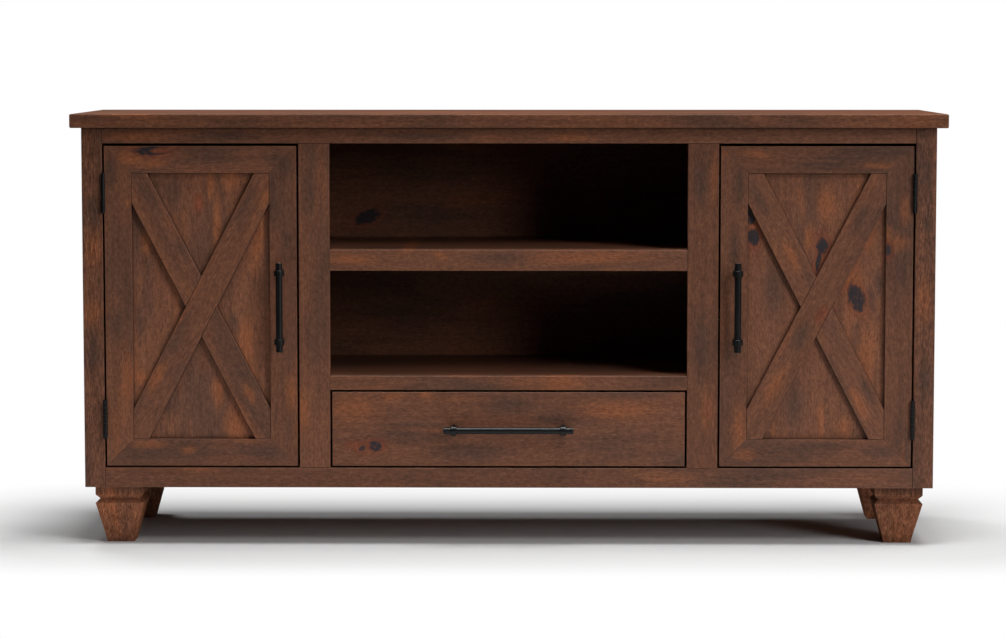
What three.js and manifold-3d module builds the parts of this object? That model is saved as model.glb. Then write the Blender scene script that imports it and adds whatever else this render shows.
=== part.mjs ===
// A rustic TV console in stained knotty wood: two X-braced doors, two open bays
// between them and one drawer under the bays.
// Millimetres, +X to the right, +Y to the back, +Z up. The origin lies on the
// floor, under the middle of the whole object's box.

import * as THREE from 'three';
import { mergeVertices } from 'three/addons/utils/BufferGeometryUtils.js';
import Module from 'manifold-3d';

const wasm = await Module();
wasm.setup();

// Clearances and rounding
const seat = 0.3;
const edgeEase = 0.8;
const overrun = 5;
const roundSides = 20;

// Top panel
const topWidth = 1625.6;
const topDepth = 432;
const topThickness = 26;
const topSideOverhang = 19;
const topFrontOverhang = 18;
const topBackOverhang = 3;
const topEase = 2.6;
const topEaseSteps = 3;
const overallHeight = 808;

// Face frame
const frameThickness = 20;
const outerStileWidth = 38.1;
const innerStileWidth = 57.2;
const topRailHeight = 28.5;
const bottomRailHeight = 37.2;
const centreOpeningWidth = 666.7;

// Heights of the centre, from the bottom rail up
const drawerOpeningHeight = 146.8;
const deckThickness = 26.3;
const lowerBayHeight = 197;
const middleShelfThickness = 39;

// Carcass boards
const sideThickness = 19;
const partitionThickness = 19;
const bottomThickness = 19;
const backThickness = 6.4;
const backInset = 15;
const housingDepth = 6;

// Feet
const footHeight = 109.2;
const footBlockWidth = 90;
const footSoleWidth = 50;
const footTaperHeight = 76;
const footGrooveHeight = 16;
const footGrooveDepth = 8;
const footTenonInset = 6;
const footSideInset = 16;
const footFrontInset = 22;
const footBackInset = 3.5;

// Shelves behind the doors, and their pins
const innerShelfThickness = 19;
const innerShelfEndGap = 1;
const innerShelfFrontInset = 12;
const innerShelfHeight = 278;
const pinDiameter = 5;
const pinReach = 8;
const pinRowInset = 45;
const pinPitch = 32;
const spareHolesEachWay = 2;
const holeDiameter = 5.2;
const holeDepth = 10;
const holeSides = 10;

// Doors
const doorGap = 3.9;
const doorTopGap = 5.2;
const doorThickness = 20;
const memberWidth = 50;
const memberEase = 0.3;
const panelThickness = 6;
const panelRecess = 10;
const panelGrooveDepth = 9;
const braceWidth = 50.8;
const braceThickness = 9;

// Butt hinges
const hingeLength = 73;
const hingeInset = 51;
const barrelDiameter = 8;
const hingePinDiameter = 4;
const knuckleCount = 5;
const knuckleGap = 0.4;
const leafThickness = 2.2;
const leafDepth = 16;
const barrelSides = 16;

// Bar pulls
const barDiameter = 12.7;
const collarDiameter = 19;
const collarWidth = 10.5;
const pullAxisOut = 25.5;
const postDiameter = 10;
const postBaseDiameter = 15;
const postBaseHeight = 3;
const pullOverhang = 19;
const doorPullSpacing = 128;
const drawerPullSpacing = 204;
const doorPullInset = 31;
const pullEase = 0.5;

// Magnetic catches
const catchHeight = 14;
const catchFlangeDepth = 38;
const catchFlangeThickness = 2;
const catchHeadWidth = 22;
const catchHeadDepth = 13;
const catchFromDoorTop = 70;
const strikeThickness = 1.2;

// Drawer front and its box
const drawerFrontThickness = 20;
const drawerGap = 3.9;
const boxWallThickness = 12;
const boxHeight = 100;
const boxDepth = 358;
const boxBottomThickness = 6;
const boxBottomRise = 10;
const boxGrooveDepth = 6;
const tailCount = 3;
const tailTipWidth = 24;
const tailRootWidth = 18;

// Drawer slides
const slideThickness = 12.7;
const slideHeight = 35;
const slidePlate = 1.5;
const slideFlange = 8;
const slideSetback = 20;
const slideFrontInset = 15;
const packingHeight = 45;
const ballDiameter = 3;
const ballPitch = 14;
const ballsInRow = 6;
const ballSides = 8;

// Places worked out from the sizes
const caseWidth = topWidth - 2 * topSideOverhang;
const caseDepth = topDepth - topFrontOverhang - topBackOverhang;
const caseTop = overallHeight - topThickness;
const caseHalf = caseWidth / 2;
const openingOuterX = caseHalf - outerStileWidth;
const centreHalf = centreOpeningWidth / 2;
const openingInnerX = centreHalf + innerStileWidth;
const behindFrame = frameThickness + seat;
const backFront = caseDepth - backInset - backThickness;
const sideInnerX = caseHalf - sideThickness;
const partitionOuterX = openingInnerX;
const partitionInnerX = partitionOuterX - partitionThickness;

const openingBottom = footHeight + bottomRailHeight;
const openingTop = caseTop - topRailHeight;
const deckBottom = openingBottom + drawerOpeningHeight;
const deckTop = deckBottom + deckThickness;
const middleShelfBottom = deckTop + lowerBayHeight;
const bottomUnderside = openingBottom - bottomThickness;
const innerShelfBottom = openingBottom + innerShelfHeight;
const pinHeight = innerShelfBottom - pinDiameter / 2 - seat;

const doorWidth = openingOuterX - openingInnerX - 2 * doorGap;
const doorHeight = openingTop - openingBottom - doorTopGap - doorGap;
const doorCentreX = (openingOuterX + openingInnerX) / 2;
const doorBottom = openingBottom + doorGap;
const braceRoomWidth = doorWidth - 2 * memberWidth - 2 * seat;
const braceRoomHeight = doorHeight - 2 * memberWidth - 2 * seat;

const hingeX = openingOuterX - doorGap / 2;
const hingeAxisOut = barrelDiameter / 2 + seat;
const leafReach = hingeAxisOut + leafDepth;
const mortiseDepth = seat / 2 + leafThickness + seat - doorGap / 2;
const knuckleLength = (hingeLength - (knuckleCount - 1) * knuckleGap) / knuckleCount;
const hingeBottoms = [doorBottom + hingeInset, doorBottom + doorHeight - hingeInset - hingeLength];

const pullReach = pullAxisOut + collarDiameter / 2;
const drawerCentreZ = openingBottom + drawerOpeningHeight / 2;
const boxHalf = centreHalf - slideThickness;
const boxInnerHalf = boxHalf - boxWallThickness;
const boxFront = drawerFrontThickness + seat;
const slideFront = Math.max(frameThickness, drawerFrontThickness) + slideFrontInset;
const slideLength = boxDepth - slideSetback;

const frontReach = Math.max(pullReach, topFrontOverhang);
const faceY = frontReach - (frontReach - topFrontOverhang + topDepth) / 2;

// Materials
const wood = new THREE.MeshStandardMaterial({ color: 0x5d3c2e, roughness: 0.55, flatShading: true });
const innerWood = new THREE.MeshStandardMaterial({ color: 0x6b4634, roughness: 0.65, flatShading: true });
const boxWood = new THREE.MeshStandardMaterial({ color: 0xb08a62, roughness: 0.6, flatShading: true });
const black = new THREE.MeshStandardMaterial({ color: 0x17181a, roughness: 0.45, metalness: 0.6 });
const zinc = new THREE.MeshStandardMaterial({ color: 0x9a9c9e, roughness: 0.35, metalness: 0.9 });

// Solids and booleans

// Vertices that share a place become one, and the slivers at a lathe's poles go.
function weld(geometry) {
  const bare = new THREE.BufferGeometry();
  bare.setAttribute('position', geometry.attributes.position);
  bare.setIndex(geometry.index);
  const merged = mergeVertices(bare);
  const corners = merged.index.array;
  const kept = [];
  for (let i = 0; i < corners.length; i += 3) {
    const [a, b, c] = corners.slice(i, i + 3);
    if (a !== b && b !== c && c !== a) kept.push(a, b, c);
  }
  merged.setIndex(kept);
  return merged;
}

function toSolid(geometry) {
  const welded = weld(geometry);
  const mesh = new wasm.Mesh({
    numProp: 3,
    vertProperties: new Float32Array(welded.attributes.position.array),
    triVerts: new Uint32Array(welded.index.array),
  });
  return new wasm.Manifold(mesh);
}

function fromSolid(solid) {
  const { vertProperties, triVerts } = solid.getMesh();
  const geometry = new THREE.BufferGeometry();
  geometry.setAttribute('position', new THREE.BufferAttribute(vertProperties, 3));
  geometry.setIndex(new THREE.BufferAttribute(triVerts, 1));
  geometry.computeVertexNormals();
  return geometry;
}

function cut(geometry, ...tools) {
  return fromSolid(tools.reduce((solid, tool) => solid.subtract(toSolid(tool)), toSolid(geometry)));
}

function join(geometry, ...others) {
  return fromSolid(others.reduce((solid, other) => solid.add(toSolid(other)), toSolid(geometry)));
}

// The other hand of a piece, with its faces still pointing out.
function mirrored(geometry) {
  const copy = weld(geometry);
  copy.scale(-1, 1, 1);
  const corners = copy.index.array;
  for (let i = 0; i < corners.length; i += 3) {
    [corners[i], corners[i + 1]] = [corners[i + 1], corners[i]];
  }
  return copy;
}

function handed(geometry, side) {
  return side > 0 ? geometry : mirrored(geometry);
}

// Boards: an outline with eased edges, then the thickness

function rectangle(x0, x1, y0, y1) {
  return [[x0, y0], [x1, y0], [x1, y1], [x0, y1]];
}

function flatPlate(points, thickness, ease = edgeEase, easeSteps = 1) {
  const shape = new THREE.Shape(points.map(([x, y]) => new THREE.Vector2(x, y)));
  const geometry = new THREE.ExtrudeGeometry(shape, {
    depth: thickness - 2 * ease,
    bevelEnabled: ease > 0,
    bevelThickness: ease,
    bevelSize: ease,
    bevelOffset: -ease,
    bevelSegments: easeSteps,
  });
  return geometry.translate(0, 0, ease);
}

// The outline lies in X and Z, and the thickness runs back along +Y.
function frontPlate(points, thickness, ease = edgeEase) {
  const turn = new THREE.Matrix4().makeRotationX(Math.PI / 2);
  return flatPlate(points, thickness, ease).applyMatrix4(turn).translate(0, thickness, 0);
}

// The outline lies in Y and Z, and the thickness runs along +X.
function sidePlate(points, thickness, ease = edgeEase) {
  const axes = [new THREE.Vector3(0, 1, 0), new THREE.Vector3(0, 0, 1), new THREE.Vector3(1, 0, 0)];
  return flatPlate(points, thickness, ease).applyMatrix4(new THREE.Matrix4().makeBasis(...axes));
}

function block(x0, x1, y0, y1, z0, z1) {
  const geometry = new THREE.BoxGeometry(x1 - x0, y1 - y0, z1 - z0);
  return geometry.translate((x0 + x1) / 2, (y0 + y1) / 2, (z0 + z1) / 2);
}

// Round pieces stand on the XY plane, with their axis along +Z.
function turned(profile, sides, start = 0) {
  const points = profile.map(([radius, height]) => new THREE.Vector2(radius, height));
  return new THREE.LatheGeometry(points, sides, start).rotateX(Math.PI / 2);
}

function rod(diameter, length, sides = roundSides, chamfer = 0) {
  const radius = diameter / 2;
  if (chamfer === 0) return turned([[0, 0], [radius, 0], [radius, length], [0, length]], sides);
  const profile = [
    [0, 0],
    [radius - chamfer, 0],
    [radius, chamfer],
    [radius, length - chamfer],
    [radius - chamfer, length],
    [0, length],
  ];
  return turned(profile, sides);
}

function piece(group, name, geometry, material, x = 0, y = 0, z = 0) {
  const mesh = new THREE.Mesh(weld(geometry), material);
  mesh.geometry.computeVertexNormals();
  mesh.name = name;
  mesh.position.set(x, y, z);
  group.add(mesh);
}

// Case

function addTop(group) {
  const outline = rectangle(-topWidth / 2, topWidth / 2, 0, topDepth);
  const slab = flatPlate(outline, topThickness, topEase, topEaseSteps);
  piece(group, 'top_panel', slab, wood, 0, -topFrontOverhang, caseTop);
}

// One mortise for each hinge's leaf, in the edge that faces the door.
function hingeMortises(edgeX, inward) {
  return hingeBottoms.map((bottom) => block(
    Math.min(edgeX - overrun * inward, edgeX + mortiseDepth * inward),
    Math.max(edgeX - overrun * inward, edgeX + mortiseDepth * inward),
    -overrun,
    leafDepth + seat,
    bottom - seat,
    bottom + hingeLength + seat,
  ));
}

function addFaceFrame(group) {
  const outerOutline = rectangle(openingOuterX, caseHalf, footHeight, caseTop - seat);
  const outerStile = cut(frontPlate(outerOutline, frameThickness), ...hingeMortises(openingOuterX, 1));
  const innerOutline = rectangle(centreHalf, openingInnerX, openingBottom + seat, openingTop - seat);
  const innerStile = frontPlate(innerOutline, frameThickness);
  for (const [hand, side] of [['left', -1], ['right', 1]]) {
    piece(group, `${hand}_outer_stile`, handed(outerStile, side), wood);
    piece(group, `${hand}_inner_stile`, handed(innerStile, side), wood);
  }
  const railHalf = openingOuterX - seat;
  const topOutline = rectangle(-railHalf, railHalf, openingTop, caseTop - seat);
  const bottomOutline = rectangle(-railHalf, railHalf, footHeight, openingBottom);
  piece(group, 'top_rail', frontPlate(topOutline, frameThickness), wood);
  piece(group, 'bottom_rail', frontPlate(bottomOutline, frameThickness), wood);
}

// The shelf and the drawer deck come flush with the face frame, and widen
// behind the stiles into the partitions' housings.
function housedBoard(thickness) {
  const frontHalf = centreHalf - seat;
  const tongueHalf = partitionInnerX + housingDepth - seat;
  const shoulder = behindFrame + seat;
  const back = backFront - seat;
  const outline = [
    [-frontHalf, 0],
    [frontHalf, 0],
    [frontHalf, shoulder],
    [tongueHalf, shoulder],
    [tongueHalf, back],
    [-tongueHalf, back],
    [-tongueHalf, shoulder],
    [-frontHalf, shoulder],
  ];
  return flatPlate(outline, thickness);
}

function addCentreShelves(group) {
  piece(group, 'middle_shelf', housedBoard(middleShelfThickness), wood, 0, 0, middleShelfBottom);
  piece(group, 'drawer_deck', housedBoard(deckThickness), wood, 0, 0, deckBottom);
}

// Rows of shelf-pin holes near the front and the back of a panel's face, with
// a pin in the middle hole. The face is at x, and inward points off the wood.
function withShelfPins(panel, x, inward) {
  const rows = [behindFrame + pinRowInset, backFront - pinRowInset];
  const holes = [];
  const pins = [];
  const stick = (diameter, length, sides, start) => rod(diameter, length, sides)
    .rotateY(inward * Math.PI / 2)
    .translate(x + start * inward, 0, 0);
  for (const y of rows) {
    for (let step = -spareHolesEachWay; step <= spareHolesEachWay; step += 1) {
      const z = pinHeight + step * pinPitch;
      if (step === 0) {
        pins.push(stick(pinDiameter, holeDepth + pinReach, roundSides, -holeDepth).translate(0, y, z));
      } else {
        holes.push(stick(holeDiameter, holeDepth + overrun, holeSides, -holeDepth).translate(0, y, z));
      }
    }
  }
  return join(cut(panel, ...holes), ...pins);
}

function sidePanel() {
  const outline = rectangle(behindFrame, caseDepth, footHeight, caseTop - seat);
  const board = sidePlate(outline, sideThickness).translate(sideInnerX, 0, 0);
  const grooveEnd = sideInnerX + housingDepth;
  const backGroove = block(
    sideInnerX - overrun,
    grooveEnd,
    backFront - seat,
    backFront + backThickness + seat,
    footHeight - overrun,
    caseTop + overrun,
  );
  const bottomHousing = block(
    sideInnerX - overrun,
    grooveEnd,
    -overrun,
    backFront,
    bottomUnderside - seat,
    openingBottom + seat,
  );
  return withShelfPins(cut(board, backGroove, bottomHousing), sideInnerX, -1);
}

// A partition lies flush with the inner stile's edge at the door. A packing
// strip on it brings the drawer's slide out to the edge of the opening.
function partition() {
  const back = backFront - seat;
  const outline = rectangle(behindFrame, back, openingBottom + seat, caseTop - seat);
  const board = sidePlate(outline, partitionThickness).translate(partitionInnerX, 0, 0);
  const packing = block(
    centreHalf,
    partitionInnerX + housingDepth,
    behindFrame,
    back,
    drawerCentreZ - packingHeight / 2,
    drawerCentreZ + packingHeight / 2,
  );
  const housings = [
    [deckBottom, deckTop],
    [middleShelfBottom, middleShelfBottom + middleShelfThickness],
  ].map(([low, high]) => block(
    partitionInnerX - overrun,
    partitionInnerX + housingDepth,
    -overrun,
    backFront + overrun,
    low - seat,
    high + seat,
  ));
  return withShelfPins(join(cut(board, ...housings), packing), partitionOuterX, 1);
}

function addCarcass(group) {
  for (const [hand, side] of [['left', -1], ['right', 1]]) {
    piece(group, `${hand}_side_panel`, handed(sidePanel(), side), wood);
    piece(group, `${hand}_partition`, handed(partition(), side), innerWood);
  }
  const bottomHalf = sideInnerX + housingDepth - seat;
  const bottomOutline = rectangle(-bottomHalf, bottomHalf, behindFrame, backFront - seat);
  piece(group, 'bottom_panel', flatPlate(bottomOutline, bottomThickness), innerWood, 0, 0, bottomUnderside);
  const backOutline = rectangle(-bottomHalf, bottomHalf, bottomUnderside, caseTop - seat);
  piece(group, 'back_panel', frontPlate(backOutline, backThickness), wood, 0, backFront);
}

// A foot is square all the way up, so it is a lathe with four sides: a tapered
// leg, a V groove, a plain block, and a tenon that seats under the bottom panel.
function foot() {
  const blockHalf = footBlockWidth / 2;
  const grooveTop = footTaperHeight + footGrooveHeight;
  const tenonTop = bottomUnderside - seat;
  const profile = [
    [0, 0],
    [footSoleWidth / 2, 0],
    [blockHalf, footTaperHeight],
    [blockHalf - footGrooveDepth, footTaperHeight + footGrooveHeight / 2],
    [blockHalf, grooveTop],
    [blockHalf, footHeight - seat],
    [blockHalf - footTenonInset, footHeight - seat],
    [blockHalf - footTenonInset, tenonTop],
    [0, tenonTop],
  ];
  const corners = profile.map(([half, height]) => [half * Math.SQRT2, height]);
  return turned(corners, 4, Math.PI / 4);
}

function addFeet(group) {
  const x = caseHalf - footSideInset - footBlockWidth / 2;
  const frontY = footFrontInset + footBlockWidth / 2;
  const backY = caseDepth - footBackInset - footBlockWidth / 2;
  for (const [hand, side] of [['left', -1], ['right', 1]]) {
    piece(group, `${hand}_front_foot`, foot(), wood, side * x, frontY);
    piece(group, `${hand}_back_foot`, foot(), wood, side * x, backY);
  }
}

function addInnerShelves(group) {
  const near = partitionOuterX + innerShelfEndGap;
  const far = sideInnerX - innerShelfEndGap;
  const front = behindFrame + innerShelfFrontInset;
  const outline = rectangle(near, far, front, backFront - innerShelfEndGap);
  const board = flatPlate(outline, innerShelfThickness);
  for (const [hand, side] of [['left', -1], ['right', 1]]) {
    piece(group, `${hand}_inner_shelf`, handed(board, side), innerWood, 0, 0, innerShelfBottom);
  }
}

// The catch is screwed to the partition, and its magnet head stands behind the
// door's latch stile.
function doorCatch() {
  const carried = partitionOuterX + seat;
  const headEnd = openingInnerX + doorGap + catchHeadWidth;
  const headFront = doorThickness + strikeThickness + seat;
  const flange = block(
    carried,
    carried + catchFlangeThickness,
    headFront + edgeEase,
    headFront + catchFlangeDepth,
    0,
    catchHeight,
  );
  const head = frontPlate(rectangle(carried, headEnd, 0, catchHeight), catchHeadDepth)
    .translate(0, headFront, 0);
  return join(head, flange);
}

function addCatches(group) {
  const z = doorBottom + doorHeight - catchFromDoorTop;
  for (const [hand, side] of [['left', -1], ['right', 1]]) {
    piece(group, `${hand}_door_catch`, handed(doorCatch(), side), zinc, 0, 0, z);
  }
}

// Hinges

function knuckleStart(index) {
  return index * (knuckleLength + knuckleGap);
}

// One leaf with its own knuckles. The axis is at the origin, the leaf runs
// back along +Y on the +X side, and the other leaf's knuckles get their room.
function hingeLeaf(ownFirst) {
  const own = [];
  const room = [];
  for (let index = 0; index < knuckleCount; index += 1) {
    const start = knuckleStart(index);
    if (index % 2 === ownFirst) {
      own.push(rod(barrelDiameter, knuckleLength, barrelSides).translate(0, 0, start));
    } else {
      const length = knuckleLength + 2 * knuckleGap;
      room.push(rod(barrelDiameter + 2 * seat, length, barrelSides).translate(0, 0, start - knuckleGap));
    }
  }
  const plate = block(seat / 2, seat / 2 + leafThickness, 0, leafReach, 0, hingeLength);
  return join(cut(plate, ...room), ...own);
}

function frameLeaf() {
  return join(mirrored(hingeLeaf(0)), rod(hingePinDiameter, hingeLength, barrelSides));
}

function doorLeaf() {
  const bore = rod(hingePinDiameter + 2 * seat, hingeLength + 2 * overrun, barrelSides);
  return cut(hingeLeaf(1), bore.translate(0, 0, -overrun));
}

function addFrameLeaves(group) {
  for (const [hand, side] of [['left', -1], ['right', 1]]) {
    ['lower', 'upper'].forEach((level, index) => {
      const name = `${hand}_${level}_hinge_frame_leaf`;
      const leaf = handed(frameLeaf(), -side);
      piece(group, name, leaf, black, side * hingeX, -hingeAxisOut, hingeBottoms[index]);
    });
  }
}

// Pulls

// A bar pull along +Z, centred, with its posts running back to the wood at y 0.
function barPull(spacing) {
  const length = spacing + 2 * pullOverhang;
  const bar = rod(barDiameter, length, roundSides, pullEase).translate(0, -pullAxisOut, -length / 2);
  const parts = [];
  for (const end of [-1, 1]) {
    const z = end * spacing / 2;
    const collar = rod(collarDiameter, collarWidth, roundSides, pullEase);
    const post = rod(postDiameter, pullAxisOut - seat, roundSides).rotateX(Math.PI / 2);
    const base = rod(postBaseDiameter, postBaseHeight, roundSides).rotateX(Math.PI / 2);
    parts.push(collar.translate(0, -pullAxisOut, z - collarWidth / 2));
    parts.push(post.translate(0, -seat, z), base.translate(0, -seat, z));
  }
  return join(bar, ...parts);
}

// Doors. Door coordinates: X from the door's middle, Z from its bottom edge.

// The four frame members are mitred, and grooved on the inside for the panel.
function doorMembers() {
  const half = doorWidth / 2;
  const innerHalf = half - memberWidth;
  const mitreGap = seat * Math.SQRT2;
  const grooveHalf = innerHalf + panelGrooveDepth;
  const groove = block(
    -grooveHalf,
    grooveHalf,
    panelRecess - seat,
    panelRecess + panelThickness + seat,
    memberWidth - panelGrooveDepth,
    doorHeight - memberWidth + panelGrooveDepth,
  );
  const stile = [
    [innerHalf, memberWidth],
    [half, 0],
    [half, doorHeight],
    [innerHalf, doorHeight - memberWidth],
  ];
  const rail = [
    [-half + mitreGap, 0],
    [half - mitreGap, 0],
    [innerHalf - mitreGap, memberWidth],
    [-innerHalf + mitreGap, memberWidth],
  ];
  const upperRail = rail.map(([x, z]) => [x, doorHeight - z]);
  return {
    stile: cut(frontPlate(stile, doorThickness, memberEase), groove),
    bottomRail: cut(frontPlate(rail, doorThickness, memberEase), groove),
    topRail: cut(frontPlate(upperRail, doorThickness, memberEase), groove),
  };
}

function doorPanel() {
  const reach = panelGrooveDepth - seat;
  const half = doorWidth / 2 - memberWidth + reach;
  const outline = rectangle(-half, half, memberWidth - reach, doorHeight - memberWidth + reach);
  return frontPlate(outline, panelThickness).translate(0, panelRecess, 0);
}

// The crossing of two lines, each given as a point and a direction.
function meet([px, pz], [dx, dz], [qx, qz], [ex, ez]) {
  const along = ((qx - px) * ez - (qz - pz) * ex) / (dx * ez - dz * ex);
  return [px + along * dx, pz + along * dz];
}

// The X is one long brace from corner to corner and two halves that butt
// against it. Its outlines have their origin in the middle of the door.
function braceOutlines() {
  const w = braceRoomWidth / 2;
  const h = braceRoomHeight / 2;
  const diagonal = Math.hypot(w, h);
  const across = braceWidth / 2 * diagonal / h;
  const up = braceWidth / 2 * diagonal / w;
  const long = [[-w, -h], [-w + across, -h], [w, h - up], [w, h], [w - across, h], [-w, up - h]];
  const buttGap = seat * diagonal / w;
  const longDirection = [w, h];
  const shortDirection = [-w, h];
  const longEdge = [-w, up - h + buttGap];
  const upper = [
    [-w, h],
    [-w, h - up],
    meet([-w, h - up], shortDirection, longEdge, longDirection),
    meet([across - w, h], shortDirection, longEdge, longDirection),
    [across - w, h],
  ];
  const lower = upper.map(([x, z]) => [-x, -z]);
  return { long, upper, lower };
}

function addDoor(group, hand, side) {
  const door = new THREE.Group();
  door.position.set(side * doorCentreX, 0, doorBottom);
  const { stile, bottomRail, topRail } = doorMembers();
  const mortises = hingeMortises(doorWidth / 2, -1).map((tool) => tool.translate(0, 0, -doorBottom));
  piece(door, `${hand}_door_hinge_stile`, handed(cut(stile, ...mortises), side), wood);
  piece(door, `${hand}_door_latch_stile`, handed(stile, -side), wood);
  piece(door, `${hand}_door_bottom_rail`, bottomRail, wood);
  piece(door, `${hand}_door_top_rail`, topRail, wood);
  piece(door, `${hand}_door_panel`, doorPanel(), wood);

  const braces = braceOutlines();
  const braceY = panelRecess - seat - braceThickness;
  for (const name of ['long', 'upper', 'lower']) {
    const brace = frontPlate(braces[name], braceThickness);
    piece(door, `${hand}_door_${name}_brace`, brace, wood, 0, braceY, doorHeight / 2);
  }

  const pullX = -side * (doorWidth / 2 - doorPullInset);
  piece(door, `${hand}_door_pull`, barPull(doorPullSpacing), black, pullX, 0, doorHeight / 2);
  ['lower', 'upper'].forEach((level, index) => {
    const name = `${hand}_${level}_hinge_door_leaf`;
    const x = side * (hingeX - doorCentreX);
    piece(door, name, handed(doorLeaf(), -side), black, x, -hingeAxisOut, hingeBottoms[index] - doorBottom);
  });
  group.add(door);
}

// Drawer. The box has dovetailed corners and an applied front.

// The outline of one tail in Y and Z. It widens from the shoulder towards the
// tip, and runs on past both where it is a cutter.
function tailOutline(shoulder, direction, middle, grow, extra) {
  const spread = (tailTipWidth - tailRootWidth) / 2 / boxWallThickness;
  const corner = (along, edge) => [
    shoulder + direction * along,
    middle + edge * (tailRootWidth / 2 + grow + spread * along),
  ];
  const tip = boxWallThickness + extra;
  return [corner(-extra, -1), corner(tip, -1), corner(tip, 1), corner(-extra, 1)];
}

function tailMiddles() {
  const pitch = boxHeight / tailCount;
  return Array.from({ length: tailCount }, (_, index) => (index + 1 / 2) * pitch - boxHeight / 2);
}

function boxBottomBlock(clearance) {
  const halfX = boxInnerHalf + boxGrooveDepth - seat + clearance;
  const front = boxWallThickness - boxGrooveDepth + seat - clearance;
  const low = boxBottomRise - boxHeight / 2;
  const high = low + boxBottomThickness;
  return block(-halfX, halfX, front, boxDepth - front, low - clearance, high + clearance);
}

// The right-hand side board, with tails at both ends.
function boxSide() {
  const front = boxWallThickness;
  const back = boxDepth - boxWallThickness;
  const half = boxHeight / 2;
  const middles = tailMiddles();
  const backTails = middles.flatMap((middle) => tailOutline(back, 1, middle, 0, 0));
  const frontTails = [...middles].reverse()
    .flatMap((middle) => tailOutline(front, -1, middle, 0, 0).reverse());
  const outline = [[front, -half], [back, -half], ...backTails, [back, half], [front, half], ...frontTails];
  const board = sidePlate(outline, boxWallThickness, 0).translate(boxInnerHalf, 0, 0);
  return cut(board, boxBottomBlock(seat));
}

// The front or back board of the box, cut by the tails of both side boards.
function boxEnd(shoulder, direction) {
  const inner = shoulder + direction * seat;
  const outer = shoulder + direction * boxWallThickness;
  const half = boxHeight / 2;
  const board = block(-boxHalf, boxHalf, Math.min(inner, outer), Math.max(inner, outer), -half, half);
  const reach = boxWallThickness + seat + overrun;
  const sockets = tailMiddles().flatMap((middle) => {
    const outline = tailOutline(shoulder, direction, middle, seat, overrun);
    const socket = sidePlate(direction > 0 ? outline : outline.reverse(), reach, 0);
    return [
      socket.clone().translate(boxInnerHalf - seat, 0, 0),
      socket.translate(seat - boxInnerHalf - reach, 0, 0),
    ];
  });
  return cut(board, ...sockets, boxBottomBlock(seat));
}

// A channel of the slide along +Y. Its web lies at x 0 and its flanges reach
// along +X.
function channel(height) {
  const half = height / 2;
  const inside = half - slidePlate;
  const section = [
    [0, -half],
    [slideFlange, -half],
    [slideFlange, -inside],
    [slidePlate, -inside],
    [slidePlate, inside],
    [slideFlange, inside],
    [slideFlange, half],
    [0, half],
  ];
  return frontPlate(section, slideLength, 0);
}

// The case member carries two rows of balls near its mouth, which the drawer
// member runs between.
function caseSlide() {
  const ballZ = slideHeight / 2 - slidePlate - ballDiameter / 2 + seat;
  const balls = [];
  for (let index = 0; index < ballsInRow; index += 1) {
    for (const row of [-1, 1]) {
      const ball = new THREE.SphereGeometry(ballDiameter / 2, ballSides, ballSides / 2);
      balls.push(ball.translate(slideThickness / 2 - seat, (index + 1 / 2) * ballPitch, row * ballZ));
    }
  }
  return join(channel(slideHeight), ...balls);
}

function drawerSlide() {
  return channel(slideHeight - 2 * slidePlate - 2 * ballDiameter);
}

function addCaseSlides(group) {
  for (const [hand, side] of [['left', -1], ['right', 1]]) {
    const x = side * (centreHalf - seat);
    const member = handed(caseSlide(), -side);
    piece(group, `${hand}_slide_case_member`, member, zinc, x, slideFront, drawerCentreZ);
  }
}

function addDrawer(group) {
  const drawer = new THREE.Group();
  drawer.position.z = drawerCentreZ;
  const half = centreHalf - drawerGap;
  const halfHeight = drawerOpeningHeight / 2 - drawerGap;
  const front = frontPlate(rectangle(-half, half, -halfHeight, halfHeight), drawerFrontThickness);
  piece(drawer, 'drawer_front', front, wood);
  piece(drawer, 'drawer_box_front', boxEnd(boxWallThickness, -1), boxWood, 0, boxFront);
  piece(drawer, 'drawer_box_back', boxEnd(boxDepth - boxWallThickness, 1), boxWood, 0, boxFront);
  piece(drawer, 'drawer_box_bottom', boxBottomBlock(0), boxWood, 0, boxFront);
  for (const [hand, side] of [['left', -1], ['right', 1]]) {
    piece(drawer, `drawer_box_${hand}_side`, handed(boxSide(), side), boxWood, 0, boxFront);
    const x = side * (boxHalf + seat);
    piece(drawer, `${hand}_slide_drawer_member`, handed(drawerSlide(), side), zinc, x, slideFront);
  }
  const pull = barPull(drawerPullSpacing).rotateY(Math.PI / 2);
  piece(drawer, 'drawer_pull', pull, black);
  group.add(drawer);
}

// Assembly. Its parts have Y 0 at the face frame's front.

const tvConsole = new THREE.Group();
const assembly = new THREE.Group();
assembly.position.y = faceY;
tvConsole.add(assembly);

addTop(assembly);
addFaceFrame(assembly);
addCentreShelves(assembly);
addCarcass(assembly);
addFeet(assembly);
addInnerShelves(assembly);
addCatches(assembly);
addFrameLeaves(assembly);
addCaseSlides(assembly);
addDoor(assembly, 'left', -1);
addDoor(assembly, 'right', 1);
addDrawer(assembly);

export default tvConsole;
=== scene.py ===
# %% [markdown]
# # A knotty-wood TV console with X-braced doors
# The real piece is a low cabinet. It has two doors with an X of braces, two open bays with a drawer
# under them, and four tapered feet. All of its construction is already packed as a frame of named nodes
# in metres, so this lesson only dresses it. It gives every board a stained finish of its own and adds the
# small hardware that a cabinet maker fits last. At the end it lights the cabinet as in a studio.

# %% Load the frame
import math

import bmesh
import bpy
from mathutils import Matrix, Vector


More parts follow.
